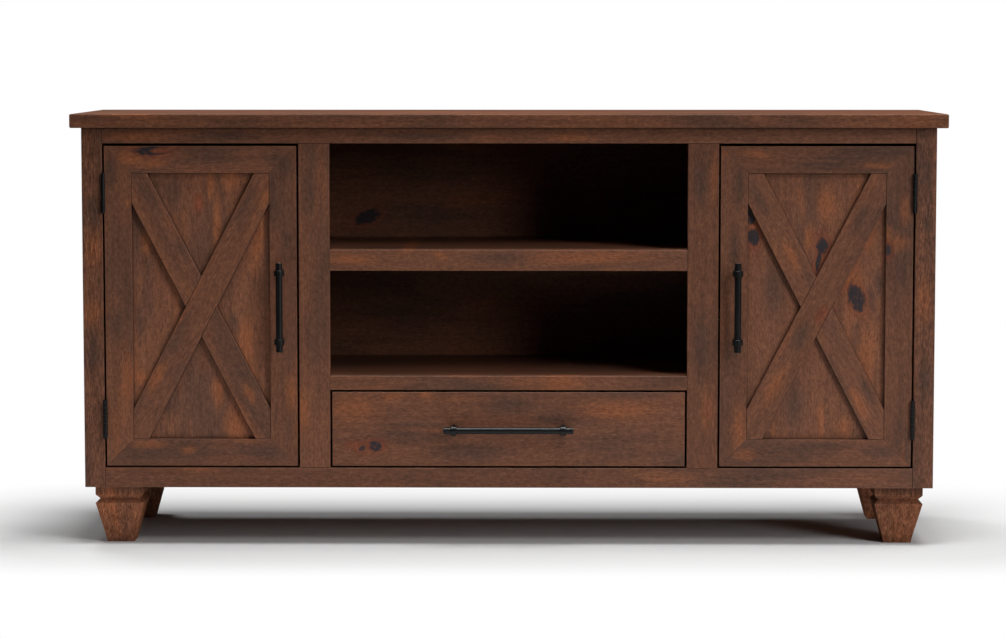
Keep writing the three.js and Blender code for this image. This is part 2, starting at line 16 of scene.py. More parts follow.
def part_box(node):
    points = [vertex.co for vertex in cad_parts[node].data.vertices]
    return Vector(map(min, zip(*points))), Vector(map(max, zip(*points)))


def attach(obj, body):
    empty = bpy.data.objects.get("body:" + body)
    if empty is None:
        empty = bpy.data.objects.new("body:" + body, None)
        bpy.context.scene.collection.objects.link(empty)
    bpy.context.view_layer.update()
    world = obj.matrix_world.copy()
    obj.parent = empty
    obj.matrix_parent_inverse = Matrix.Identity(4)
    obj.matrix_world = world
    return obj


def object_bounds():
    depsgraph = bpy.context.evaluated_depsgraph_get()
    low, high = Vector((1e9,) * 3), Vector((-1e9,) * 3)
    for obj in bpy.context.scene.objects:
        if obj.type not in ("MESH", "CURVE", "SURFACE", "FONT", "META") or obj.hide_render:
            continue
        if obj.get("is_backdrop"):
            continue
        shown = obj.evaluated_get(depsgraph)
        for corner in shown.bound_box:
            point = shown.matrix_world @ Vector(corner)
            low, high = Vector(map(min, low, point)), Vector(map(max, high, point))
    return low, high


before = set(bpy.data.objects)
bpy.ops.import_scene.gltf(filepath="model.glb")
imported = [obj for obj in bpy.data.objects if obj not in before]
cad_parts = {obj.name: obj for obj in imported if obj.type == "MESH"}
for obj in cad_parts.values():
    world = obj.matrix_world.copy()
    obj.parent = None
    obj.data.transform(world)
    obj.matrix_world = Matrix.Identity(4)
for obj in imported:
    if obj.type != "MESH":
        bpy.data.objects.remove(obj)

cad_box = [list(corner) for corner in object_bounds()]
print("box:", [[round(value, 4) for value in corner] for corner in cad_box])


# %% [markdown]
# ## Colours and node sheets
# Shaders count in linear light, while a colour that is judged by eye is a screen value from 0 to 255.
# One small function turns the second into the first. A node tree is easier to read as sums than as
# boxes and wires, so a small class adds nodes and links whatever it is given, a number or an output.

# %% Colours from screen values
def screen(red, green, blue):
    """A colour as linear light, from screen values of 0 to 255."""
    def linear(value):
        share = value / 255
        return share / 12.92 if share <= 0.04045 else ((share + 0.055) / 1.055) ** 2.4
    return (linear(red), linear(green), linear(blue), 1)


print("middle stain in linear light:", [round(value, 3) for value in screen(93, 60, 46)[:3]])


# %% A class that builds node trees
class Sheet:
    """Adds nodes to one tree. A value can be a number, a colour or another node's output."""

    def __init__(self, tree):
        self.tree = tree

    def add(self, kind, values=None, **settings):
        node = self.tree.nodes.new(kind)
        for name, setting in settings.items():
            setattr(node, name, setting)
        for name, value in (values or {}).items():
            socket = node.inputs[name]
            if isinstance(value, bpy.types.NodeSocket):
                self.tree.links.new(value, socket)
            else:
                socket.default_value = value
        return node

    def math(self, operation, *values):
        return self.add("ShaderNodeMath", dict(enumerate(values)), operation=operation).outputs[0]

    def vector(self, operation, *values):
        return self.add("ShaderNodeVectorMath", dict(enumerate(values)), operation=operation).outputs[0]

    def measure(self, operation, *values):
        node = self.add("ShaderNodeVectorMath", dict(enumerate(values)), operation=operation)
        return node.outputs["Value"]

    def scale(self, vector, factor):
        values = {"Vector": vector, "Scale": factor}
        return self.add("ShaderNodeVectorMath", values, operation="SCALE").outputs[0]

    def ramp(self, value, low, high, start=0, end=1):
        """Runs smoothly from start to end while the value goes from low to high."""
        span = {"Value": value, "From Min": low, "From Max": high, "To Min": start, "To Max": end}
        return self.add("ShaderNodeMapRange", span, interpolation_type="SMOOTHSTEP").outputs[0]

    def mix(self, factor, first, second, how="MIX"):
        """Mixes two colours."""
        values = {0: factor, 6: first, 7: second}
        return self.add("ShaderNodeMix", values, data_type="RGBA", blend_type=how).outputs[2]

    def noise(self, vector, scale, offset=(0, 0, 0), detail=2, roughness=0.5):
        """Cloudy values from 0 to 1. The scale is how many clouds go to a metre along each axis."""
        place = self.vector("MULTIPLY_ADD", vector, scale, offset)
        values = {"Vector": place, "Scale": 1, "Detail": detail, "Roughness": roughness}
        return self.add("ShaderNodeTexNoise", values).outputs[0]

    def use(self, group, values):
        """Places a node group and returns its outputs."""
        return self.add("ShaderNodeGroup", values, node_tree=group).outputs


print("a sheet can:", [name for name in vars(Sheet) if not name.startswith("_")])


# %% Helpers for node groups
def new_group(name, inputs, outputs):
    """Makes a shader group. Returns its sheet, its own inputs and the sockets that it puts out."""
    tree = bpy.data.node_groups.new(name, "ShaderNodeTree")
    for label, (kind, start) in inputs.items():
        socket = tree.interface.new_socket(label, in_out="INPUT", socket_type="NodeSocket" + kind)
        socket.default_value = start
    for label, kind in outputs.items():
        tree.interface.new_socket(label, in_out="OUTPUT", socket_type="NodeSocket" + kind)
    given = tree.nodes.new("NodeGroupInput").outputs
    result = tree.nodes.new("NodeGroupOutput").inputs
    return Sheet(tree), given, result


def put_out(sheet, result, values):
    """Links each named value to the group's output of that name."""
    for label, value in values.items():
        sheet.tree.links.new(value, result[label])


def output_names(group):
    return [socket.name for socket in group.interface.items_tree if socket.in_out == "OUTPUT"]


print("node groups so far:", len(bpy.data.node_groups))


# %% Helpers for materials
def new_material(name):
    """A material, the sheet of its nodes and its shader."""
    material = bpy.data.materials.new(name)
    material.use_nodes = True
    return material, Sheet(material.node_tree), material.node_tree.nodes["Principled BSDF"]


def link_shader(sheet, shader, colour, roughness, normal):
    """Links what varies over the surface."""
    for label, output in (("Base Color", colour), ("Roughness", roughness), ("Normal", normal)):
        sheet.tree.links.new(output, shader.inputs[label])


print("materials so far:", len(bpy.data.materials))


# %% [markdown]
# ## The figure of the wood
# A plank shows several patterns at once, each at its own scale: broad soft clouds where the stain sank
# in, redder flames, streaks along the grain, the slow wave of the growth rings, and a fine mottle of
# fibres and pores that is nearly as even along the grain as across it.
# A photograph of wood could be wrapped round each board, but it would repeat and stretch at the ends.
# Noise in space gives every board its own face, its matching edges and its end grain. The group works in
# board space, where X runs along the grain, and stretches each noise to the shape of its pattern.

# %% The noises of the wood figure
FIGURE_NOISES = {
    "Cloud": ((3.4, 14, 14), (13.7, 7.9, 5.3), 2, 0.5),
    "Flame": ((5, 27, 27), (5.1, 11.3, 3.7), 2, 0.5),
    "Streak": ((4, 130, 130), (3.3, 17.1, 9.7), 3, 0.55),
    "Mottle": ((120, 170, 170), (6.3, 8.9, 2.7), 4, 0.8),
    "Fibre": ((90, 520, 520), (7.7, 2.9, 6.1), 2, 0.7),
    "Pore": ((70, 430, 430), (9.1, 4.7, 8.3), 1, 0.5),
    "Wander": ((2.2, 7, 7), (1.9, 6.7, 2.3), 1, 0.5),
}
CLEAR_SPANS = {"Cloud": (0.44, 0.72), "Flame": (0.56, 0.84), "Pore": (0.56, 0.7)}
RINGS_PER_METRE = 42
RING_WANDER = 5
PATTERNS = ("Cloud", "Flame", "Streak", "Mottle", "Fibre", "Pore", "Ring")
print("patterns of the wood:", PATTERNS)


# %% Group: wood figure
def make_figure_group():
    """Each noise has its patterns per metre, its shift for a seed of 1, its detail and its roughness."""
    inputs = {"Vector": ("Vector", (0, 0, 0)), "Seed": ("Float", 0)}
    sheet, given, result = new_group("wood figure", inputs, dict.fromkeys(PATTERNS, "Float"))
    vector, seed = given["Vector"], given["Seed"]
    seeds = sheet.add("ShaderNodeCombineXYZ", {"X": seed, "Y": seed, "Z": seed}).outputs[0]
    values = {}
    for label, (scale, shift, detail, roughness) in FIGURE_NOISES.items():
        offset = sheet.vector("MULTIPLY", seeds, shift)
        values[label] = sheet.noise(vector, scale, offset, detail, roughness)
    across = sheet.add("ShaderNodeSeparateXYZ", {0: vector}).outputs["Y"]
    wander = sheet.math("MULTIPLY", values.pop("Wander"), RING_WANDER)
    turns = sheet.math("MULTIPLY_ADD", across, RINGS_PER_METRE, wander)
    wave = sheet.math("SINE", sheet.math("MULTIPLY", turns, 2 * math.pi))
    values["Ring"] = sheet.math("MULTIPLY_ADD", wave, 0.5, 0.5)
    for label, span in CLEAR_SPANS.items():
        values[label] = sheet.ramp(values[label], *span)
    put_out(sheet, result, values)
    return sheet.tree


wood_figure = make_figure_group()
print("wood figure puts out:", output_names(wood_figure))


# %% [markdown]
# ## Knots
# A knot is a branch cut across. Its heart is dark and ragged, with paler islands where the wood closed
# again, resin has warmed the wood round it, and the grain parts to flow past it. An open knot has
# healed wood in its middle, towards one end, so that it looks like a C. A group can do all of
# that if the knots come before the figure. It measures how far a point is from an oval with an uneven
# rim, and hands on a bent copy of the board space. Several knots then go one after another, and the
# figure drawn in the last vector bends round them all.

# %% Places in an oval
RAGS_PER_METRE = (60, 130, 130)


def turned_oval(sheet, given):
    """The point's place in the oval's own axes, and a ragged value round zero."""
    away = sheet.vector("SUBTRACT", given["Vector"], given["Centre"])
    back = sheet.math("MULTIPLY", given["Tilt"], -1)
    turned = sheet.add("ShaderNodeVectorRotate", {"Vector": away, "Angle": back}, rotation_type="Z_AXIS")
    parts = sheet.add("ShaderNodeSeparateXYZ", {0: turned.outputs[0]}).outputs
    cloudy = sheet.noise(given["Vector"], RAGS_PER_METRE, detail=4, roughness=0.65)
    ragged = sheet.math("MULTIPLY", sheet.math("SUBTRACT", cloudy, 0.5), given["Ragged"])
    return away, parts["X"], parts["Y"], ragged


def oval_distance(sheet, along, across, length, width, ragged):
    """One on the rim of an oval with these half sizes, less inside and more outside."""
    first = sheet.math("DIVIDE", along, length)
    second = sheet.math("DIVIDE", across, width)
    place = sheet.add("ShaderNodeCombineXYZ", {"X": first, "Y": second}).outputs[0]
    return sheet.math("ADD", sheet.measure("LENGTH", place), ragged)


OVAL_INPUTS = {
    "Vector": ("Vector", (0, 0, 0)),
    "Centre": ("Vector", (0, 0, 0)),
    "Length": ("Float", 0.02),
    "Width": ("Float", 0.01),
    "Tilt": ("Float", 0),
    "Ragged": ("Float", 1.3),
    "Open": ("Float", 0),
}
print("an oval takes:", list(OVAL_INPUTS))


# %% Group: knot
HALO_ALONG = 0.013
HALO_ACROSS = 0.006
HALO_FADE = (1.5, 0.3)
CORE_FADE = (1.2, 0.75)
HOLLOW_SHIFT = 0.5
HOLLOW_SHARE = 0.6
HOLLOW_FADE = (1.3, 0.6)
ISLANDS_PER_METRE = (110, 260, 260)
ISLAND_SPAN = (0.55, 0.72)
ISLAND_DARKNESS = 0.5
PARTED_GRAIN = 0.35


def heart_darkness(sheet, given, along, across, ragged):
    """Less on the islands of the heart, and none in the hollow of an open knot."""
    islands = sheet.noise(given["Vector"], ISLANDS_PER_METRE)
    dark = sheet.ramp(islands, *ISLAND_SPAN, 1, ISLAND_DARKNESS)
    toward_tail = sheet.math("MULTIPLY_ADD", given["Length"], -HOLLOW_SHIFT, along)
    length = sheet.math("MULTIPLY", given["Length"], HOLLOW_SHARE)
    width = sheet.math("MULTIPLY", given["Width"], HOLLOW_SHARE)
    hollow = oval_distance(sheet, toward_tail, across, length, width, ragged)
    healed = sheet.math("MULTIPLY", given["Open"], sheet.ramp(hollow, *HOLLOW_FADE))
    return sheet.math("MULTIPLY", dark, sheet.math("SUBTRACT", 1, healed))


def make_knot_group():
    outputs = {"Vector": "Vector", "Core": "Float", "Halo": "Float"}
    sheet, given, result = new_group("knot", OVAL_INPUTS, outputs)
    away, along, across, ragged = turned_oval(sheet, given)
    rim = oval_distance(sheet, along, across, given["Length"], given["Width"], ragged)
    dark = heart_darkness(sheet, given, along, across, ragged)
    halo_length = sheet.math("ADD", given["Length"], HALO_ALONG)
    halo_width = sheet.math("ADD", given["Width"], HALO_ACROSS)
    glow = oval_distance(sheet, along, across, halo_length, halo_width, ragged)
    square = sheet.math("MULTIPLY", glow, glow)
    part = sheet.math("DIVIDE", square, sheet.math("ADD", square, PARTED_GRAIN))
    squeeze = sheet.add("ShaderNodeCombineXYZ", {"X": 1, "Y": part, "Z": 1}).outputs[0]
    put_out(sheet, result, {
        "Vector": sheet.vector("MULTIPLY_ADD", away, squeeze, given["Centre"]),
        "Core": sheet.math("MULTIPLY", sheet.ramp(rim, *CORE_FADE), dark),
        "Halo": sheet.ramp(glow, *HALO_FADE),
    })
    return sheet.tree


knot_group = make_knot_group()
print("knot puts out:", output_names(knot_group))


# %% [markdown]
# ## Patches of stain
# Between the knots the photograph shows patches that chance alone would not put in the same places:
# greyer clouds where the stain lies thick and redder flames where it is thin. A second, simpler group
# makes one soft oval patch. It only puts out a mask, and where that is greater than the board's own
# clouds or flames, it takes their place.

# %% Group: stain patch
PATCH_FADE = (1.7, 0.2)


def make_patch_group():
    sheet, given, result = new_group("stain patch", OVAL_INPUTS, {"Mask": "Float"})
    _, along, across, ragged = turned_oval(sheet, given)
    rim = oval_distance(sheet, along, across, given["Length"], given["Width"], ragged)
    put_out(sheet, result, {"Mask": sheet.ramp(rim, *PATCH_FADE)})
    return sheet.tree


patch_group = make_patch_group()
print("stain patch puts out:", output_names(patch_group))


# %% [markdown]
# ## Rubbed edges and painted highlights
# Stain is wiped thin on every arris, and hands rub it further. The paler line along each edge is partly
# that wear and partly a painted highlight, where an eased edge catches the light. A paler line could be
# painted along each edge, but the Bevel node finds all of them, because it rounds the normal near an edge.
# Where that rounded normal leaves the true one, the surface is close to an edge, so the difference is a mask.

# %% Group: rubbed edge and painted highlight
WEAR_AND_HIGHLIGHT_SPAN = (0.995, 0.8)


def make_edge_wear_and_highlight_group():
    sheet, given, result = new_group("rubbed edge and painted highlight", {"Radius": ("Float", 0.001)}, {"Mask": "Float"})
    rounded = sheet.add("ShaderNodeBevel", {"Radius": given["Radius"]}, samples=4).outputs[0]
    true_normal = sheet.add("ShaderNodeNewGeometry").outputs["True Normal"]
    agreement = sheet.measure("DOT_PRODUCT", rounded, true_normal)
    # Partly edge wear and partly a painted highlight: the mask is greatest on every arris.
    put_out(sheet, result, {"Mask": sheet.ramp(agreement, *WEAR_AND_HIGHLIGHT_SPAN)})
    return sheet.tree


edge_wear_and_highlight_group = make_edge_wear_and_highlight_group()
print("rubbed edge and painted highlight puts out:", output_names(edge_wear_and_highlight_group))


# %% [markdown]
# ## Painted shade in the corners
# Beside a brace, along a frame and in the fine grooves where boards meet, where shade falls, the colour is
# darkened, so this is painted shade. A dark line could be drawn along each joint by hand. The Ambient
# Occlusion node finds all of them, because it asks how much of the near surroundings is blocked, and its
# short reach keeps the painted shade a line.

# %% Group: painted corner shade
CORNER_SHADE_SPAN = (0.95, 0.45)


def make_corner_shade_group():
    sheet, given, result = new_group("painted corner shade", {"Reach": ("Float", 0.004)}, {"Mask": "Float"})
    # Painted shade: the mask grows where the near surroundings block the light, in corners and joints.
    occlusion = sheet.add("ShaderNodeAmbientOcclusion", {"Distance": given["Reach"]}, samples=6)
    put_out(sheet, result, {"Mask": sheet.ramp(occlusion.outputs["AO"], *CORNER_SHADE_SPAN)})
    return sheet.tree


corner_shade_group = make_corner_shade_group()
print("painted corner shade puts out:", output_names(corner_shade_group))


# %% [markdown]
# ## The colour of the stain
# The masks become a colour in the order in which the finish was made: the stain first, clouds and flames
# over it, then the fine patterns, which only lighten and darken, then the resin and the heart of the
# knots, and last the rubbed edges, paler partly from wear and partly as a painted highlight, and the
# painted shade in corners and joints. All colours are inputs, so that the pale drawer box can use the
# same group unstained. The coarser a board, the stronger its fine patterns and its pores.

# %% The colours of the finish
COLOUR_INPUTS = {
    **{label: ("Float", 0) for label in PATTERNS + ("Core", "Halo", "Rub and highlight", "Corner shade")},
    "Shade": ("Float", 1),
    "Coarse": ("Float", 0.3),
    "Glazed": ("Float", 0.8),
    "Stain": ("Color", screen(101, 64, 46)),
    "Thick stain": ("Color", screen(70, 50, 41)),
    "Thin stain": ("Color", screen(132, 77, 46)),
    "Resin": ("Color", screen(110, 54, 34)),
    "Heart": ("Color", screen(38, 38, 42)),
    # The paler edge colour, partly wear and partly a painted highlight.
    "Worn edge and highlight": ("Color", screen(142, 98, 78)),
    # The dark colour of the painted shade in corners and joints.
    "Glaze": ("Color", screen(34, 20, 16)),
}
print("the finish is made from:", list(COLOUR_INPUTS))


# %% Group: wood colour
PATTERN_DEPTHS = {"Streak": 0.4, "Mottle": 1.15, "Fibre": 1.1, "Ring": 0.04}
COVERS = {"Cloud": 0.7, "Flame": 0.6, "Halo": 0.6, "Core": 0.95, "Rub and highlight": 0.45}
PORE_DARKNESS = 0.35
PORE_SINK = 0.7
HEART_SINK = 0.6
HEART_POLISH = 0.08
FIBRE_SPAN = (0.3, 0.7)
WOOD_ROUGHNESS = (0.46, 0.56)


def board_light(sheet, given, sunk):
    """The board's shade, lightened and darkened by the fine patterns and darkened by the pores."""
    strength = sheet.math("ADD", given["Coarse"], 1)
    light = given["Shade"]
    for label, depth in PATTERN_DEPTHS.items():
        swing = sheet.math("MULTIPLY", sheet.math("SUBTRACT", given[label], 0.5), depth)
        light = sheet.math("MULTIPLY", light, sheet.math("MULTIPLY_ADD", swing, strength, 1))
    return sheet.math("MULTIPLY", light, sheet.math("MULTIPLY_ADD", sunk, -PORE_DARKNESS, 1))


def board_colour(sheet, given, light):
    """Stain, clouds and flames, then resin and heart, rubbed edges with a painted highlight, and painted
    shade.
    """
    def cover(colour, label, over):
        return sheet.mix(sheet.math("MULTIPLY", given[label], COVERS[label]), colour, over)

    colour = cover(given["Stain"], "Cloud", given["Thick stain"])
    colour = sheet.scale(cover(colour, "Flame", given["Thin stain"]), light)
    colour = cover(colour, "Halo", sheet.scale(given["Resin"], light))
    colour = cover(colour, "Core", given["Heart"])
    # Partly edge wear and partly a painted highlight: arrises are lightened.
    colour = cover(colour, "Rub and highlight", given["Worn edge and highlight"])
    # Painted shade: corners and joints are darkened where the surroundings block the light.
    corner_shade_share = sheet.math("MULTIPLY", given["Corner shade"], given["Glazed"])
    return sheet.mix(corner_shade_share, colour, given["Glaze"])


def make_colour_group():
    outputs = {"Color": "Color", "Roughness": "Float", "Height": "Float"}
    sheet, given, result = new_group("wood colour", COLOUR_INPUTS, outputs)
    sunk = sheet.math("MULTIPLY", given["Coarse"], given["Pore"])
    rough = sheet.ramp(given["Fibre"], *FIBRE_SPAN, *WOOD_ROUGHNESS)
    grain = sheet.math("MULTIPLY_ADD", given["Fibre"], 0.5, sheet.math("MULTIPLY", given["Streak"], 0.5))
    height = sheet.math("MULTIPLY_ADD", sunk, -PORE_SINK, grain)
    put_out(sheet, result, {
        "Color": board_colour(sheet, given, board_light(sheet, given, sunk)),
        "Roughness": sheet.math("MULTIPLY_ADD", given["Core"], -HEART_POLISH, rough),
        "Height": sheet.math("MULTIPLY_ADD", given["Core"], -HEART_SINK, height),
    })
    return sheet.tree


wood_colour = make_colour_group()
print("node groups:", [group.name for group in bpy.data.node_groups])


# %% [markdown]
# ## A finish for each board
# Boards from one tree still differ, and grain never turns a corner. So each board gets a material of its
# own, with its seed, shade and grain direction. Object coordinates ride with a door or a drawer, and a
# Mapping node turns them into board space. The marks of a board are its knots, open knots (called rings),
# small red eyes, clouds and flames, each at a place on its face, with half its length along the grain and
# half its width.

# %% The turn from the object's axes to board space
AXES = {"x": Vector((1, 0, 0)), "y": Vector((0, 1, 0)), "z": Vector((0, 0, 1))}


def board_turn(grain, face):
    """Rows of the matrix are the directions along the grain, across it and through the board."""
    across = face.cross(grain)
    return Matrix((grain, across, face))


def greatest(sheet, values):
    """The greatest of several masks, or zero."""
    top = values[0] if values else 0
    for value in values[1:]:
        top = sheet.math("MAXIMUM", top, value)
    return top


print("rows of an upright board's turn:", [tuple(row) for row in board_turn(AXES["z"], -AXES["y"])])


# %% The marks of one board
def place_marks(sheet, vector, turn, marks):
    """Chains the marks' groups. Returns the bent vector and a list of masks for each kind."""
    faces_up = turn[2].z > 0.5
    masks = {"Core": [], "Halo": [], "Cloud": [], "Flame": []}
    for kind, across, up, length, width, tilt in marks:
        place = Vector((across, up, 0)) if faces_up else Vector((across, 0, up))
        values = {
            "Vector": vector,
            "Centre": turn @ place,
            "Length": length,
            "Width": width,
            "Tilt": math.radians(tilt),
        }
        if kind in ("knot", "ring", "eye"):
            outputs = sheet.use(knot_group, {**values, "Open": 1 if kind == "ring" else 0})
            vector = outputs["Vector"]
            masks["Halo"].append(outputs["Halo"])
            if kind != "eye":
                masks["Core"].append(outputs["Core"])
        else:
            masks[kind.title()].append(sheet.use(patch_group, values)["Mask"])
    return vector, masks


print("a mark is a kind, a place across and up, a half length, a half width and a tilt")


# %% A material for one board
BUMP_DISTANCE = 0.0004
BUMP_STRENGTH = 0.5
CORNER_REACH = 0.004
# The reach of the paler edge, partly wear and partly a painted highlight.
WEAR_AND_HIGHLIGHT_RADIUS = 0.0015
WOOD_SHINE = 0.2


def board_patterns(sheet, vector, seed, edge, masks):
    """Every mask that the colour group takes."""
    figure = sheet.use(wood_figure, {"Vector": vector, "Seed": seed})
    patterns = {label: figure[label] for label in PATTERNS}
    for label in ("Cloud", "Flame"):
        patterns[label] = greatest(sheet, [figure[label]] + masks[label])
    for label in ("Core", "Halo"):
        patterns[label] = greatest(sheet, masks[label])
    # Partly edge wear and partly a painted highlight.
    patterns["Rub and highlight"] = sheet.use(edge_wear_and_highlight_group, {"Radius": edge})["Mask"]
    # Painted shade in corners and joints.
    patterns["Corner shade"] = sheet.use(corner_shade_group, {"Reach": CORNER_REACH})["Mask"]
    return patterns


def board_material(name, grain, face, seed, marks=(), edge=WEAR_AND_HIGHLIGHT_RADIUS, shine=WOOD_SHINE, pace=1, **values):
    """A pace under 1 draws the figure out along the grain. The values go to the colour group."""
    material, sheet, shader = new_material(name)
    turn = board_turn(grain, face)
    place = sheet.add("ShaderNodeTexCoord").outputs["Object"]
    mapping = {"Vector": place, "Rotation": turn.to_euler()}
    vector = sheet.add("ShaderNodeMapping", mapping).outputs[0]
    vector, masks = place_marks(sheet, vector, turn, marks)
    drawn_out = sheet.vector("MULTIPLY", vector, (pace, 1, 1))
    patterns = board_patterns(sheet, drawn_out, seed, edge, masks)
    finish = sheet.use(wood_colour, {**patterns, **values})
    bump = {"Height": finish["Height"], "Distance": BUMP_DISTANCE, "Strength": BUMP_STRENGTH}
    normal = sheet.add("ShaderNodeBump", bump).outputs[0]
    shader.inputs["Specular IOR Level"].default_value = shine
    link_shader(sheet, shader, finish["Color"], finish["Roughness"], normal)
    return material


print("the finish swells and sinks by", BUMP_DISTANCE * 1000, "mm")


# %% Give a node its finish
dressed = set()


def dress(node, material):
    """Gives a node of the frame its finish."""
    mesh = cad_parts[node].data
    mesh.materials.clear()
    mesh.materials.append(material)
    dressed.add(node)


print("nodes to dress:", len(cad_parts))


# %% [markdown]
# ## Where the boards are marked
# The marks follow the photograph. A knot or an eye has its place to a few millimetres, while clouds and
# flames are broad and only need to be near. Places are metres in the frame, across and up on a board that
# faces the front, and across and back on one that faces up. Lengths and widths are half sizes along and
# across the grain, and a tilt is in degrees.

# %% The marks of the left side
MARKS = {
    "left_outer_stile": [
        ("cloud", -0.774, 0.626, 0.027, 0.0155, 0),
        ("cloud", -0.776, 0.368, 0.042, 0.0155, 0),
        ("flame", -0.776, 0.438, 0.023, 0.0135, 0),
        ("flame", -0.774, 0.554, 0.031, 0.0135, 0),
    ],
    "left_door_top_rail": [
        ("ring", -0.661, 0.7395, 0.034, 0.0085, 3),
        ("flame", -0.660, 0.718, 0.023, 0.0075, 8),
        ("flame", -0.704, 0.726, 0.027, 0.0115, 0),
        ("cloud", -0.558, 0.732, 0.069, 0.017, 0),
        ("cloud", -0.432, 0.726, 0.023, 0.0155, 0),
    ],
    "left_door_hinge_stile": [
        ("cloud", -0.740, 0.700, 0.031, 0.0095, 0),
        ("cloud", -0.730, 0.416, 0.034, 0.0155, 0),
        ("cloud", -0.722, 0.476, 0.015, 0.0095, 0),
        ("flame", -0.708, 0.644, 0.008, 0.004, 0),
        ("flame", -0.712, 0.312, 0.050, 0.0095, 0),
    ],
    "left_door_latch_stile": [
        ("cloud", -0.416, 0.714, 0.031, 0.017, 0),
        ("cloud", -0.412, 0.578, 0.027, 0.0115, 0),
        ("flame", -0.406, 0.290, 0.034, 0.0115, 0),
    ],
    "left_door_bottom_rail": [
        ("flame", -0.670, 0.190, 0.029, 0.0075, 0),
        ("flame", -0.600, 0.180, 0.013, 0.0075, 20),
        ("cloud", -0.460, 0.176, 0.069, 0.017, 0),
    ],
    "left_door_panel": [
        ("cloud", -0.539, 0.690, 0.024, 0.0050, 2),
        ("cloud", -0.528, 0.694, 0.016, 0.0040, 8),
        ("flame", -0.518, 0.688, 0.019, 0.017, 0),
        ("flame", -0.554, 0.678, 0.027, 0.0075, 0),
        ("cloud", -0.624, 0.660, 0.038, 0.0155, 0),
        ("eye", -0.577, 0.642, 0.005, 0.004, 0),
        ("flame", -0.468, 0.568, 0.053, 0.0115, -8),
        ("flame", -0.544, 0.606, 0.050, 0.0075, 0),
        ("flame", -0.676, 0.568, 0.023, 0.0095, 0),
        ("flame", -0.688, 0.316, 0.013, 0.0115, 0),
        ("cloud", -0.688, 0.420, 0.034, 0.0115, 0),
        ("cloud", -0.572, 0.304, 0.029, 0.021, 0),
        ("cloud", -0.630, 0.268, 0.031, 0.019, 0),
        ("flame", -0.544, 0.288, 0.029, 0.0095, 0),
        ("flame", -0.510, 0.228, 0.029, 0.021, 0),
        ("cloud", -0.516, 0.420, 0.019, 0.0095, 0),
        ("flame", -0.490, 0.380, 0.042, 0.0115, 0),
    ],
    "left_door_upper_brace": [
        ("cloud", -0.674, 0.666, 0.053, 0.0135, 0),
        ("cloud", -0.608, 0.554, 0.023, 0.0155, 0),
    ],
    "left_door_long_brace": [
        ("cloud", -0.488, 0.642, 0.042, 0.0155, 0),
        ("flame", -0.452, 0.654, 0.019, 0.0075, 0),
        ("cloud", -0.624, 0.380, 0.027, 0.0115, 0),
        ("flame", -0.658, 0.316, 0.031, 0.0095, 0),
    ],
    "left_door_lower_brace": [
        ("cloud", -0.496, 0.320, 0.038, 0.0155, 0),
        ("flame", -0.484, 0.286, 0.019, 0.0075, 0),
    ],
    "left_inner_stile": [
        ("cloud", -0.346, 0.502, 0.034, 0.0095, 0),
        ("cloud", -0.368, 0.666, 0.057, 0.0155, 0),
        ("flame", -0.384, 0.256, 0.038, 0.0095, 0),
    ],
}
print("marked boards on the left:", len(MARKS))

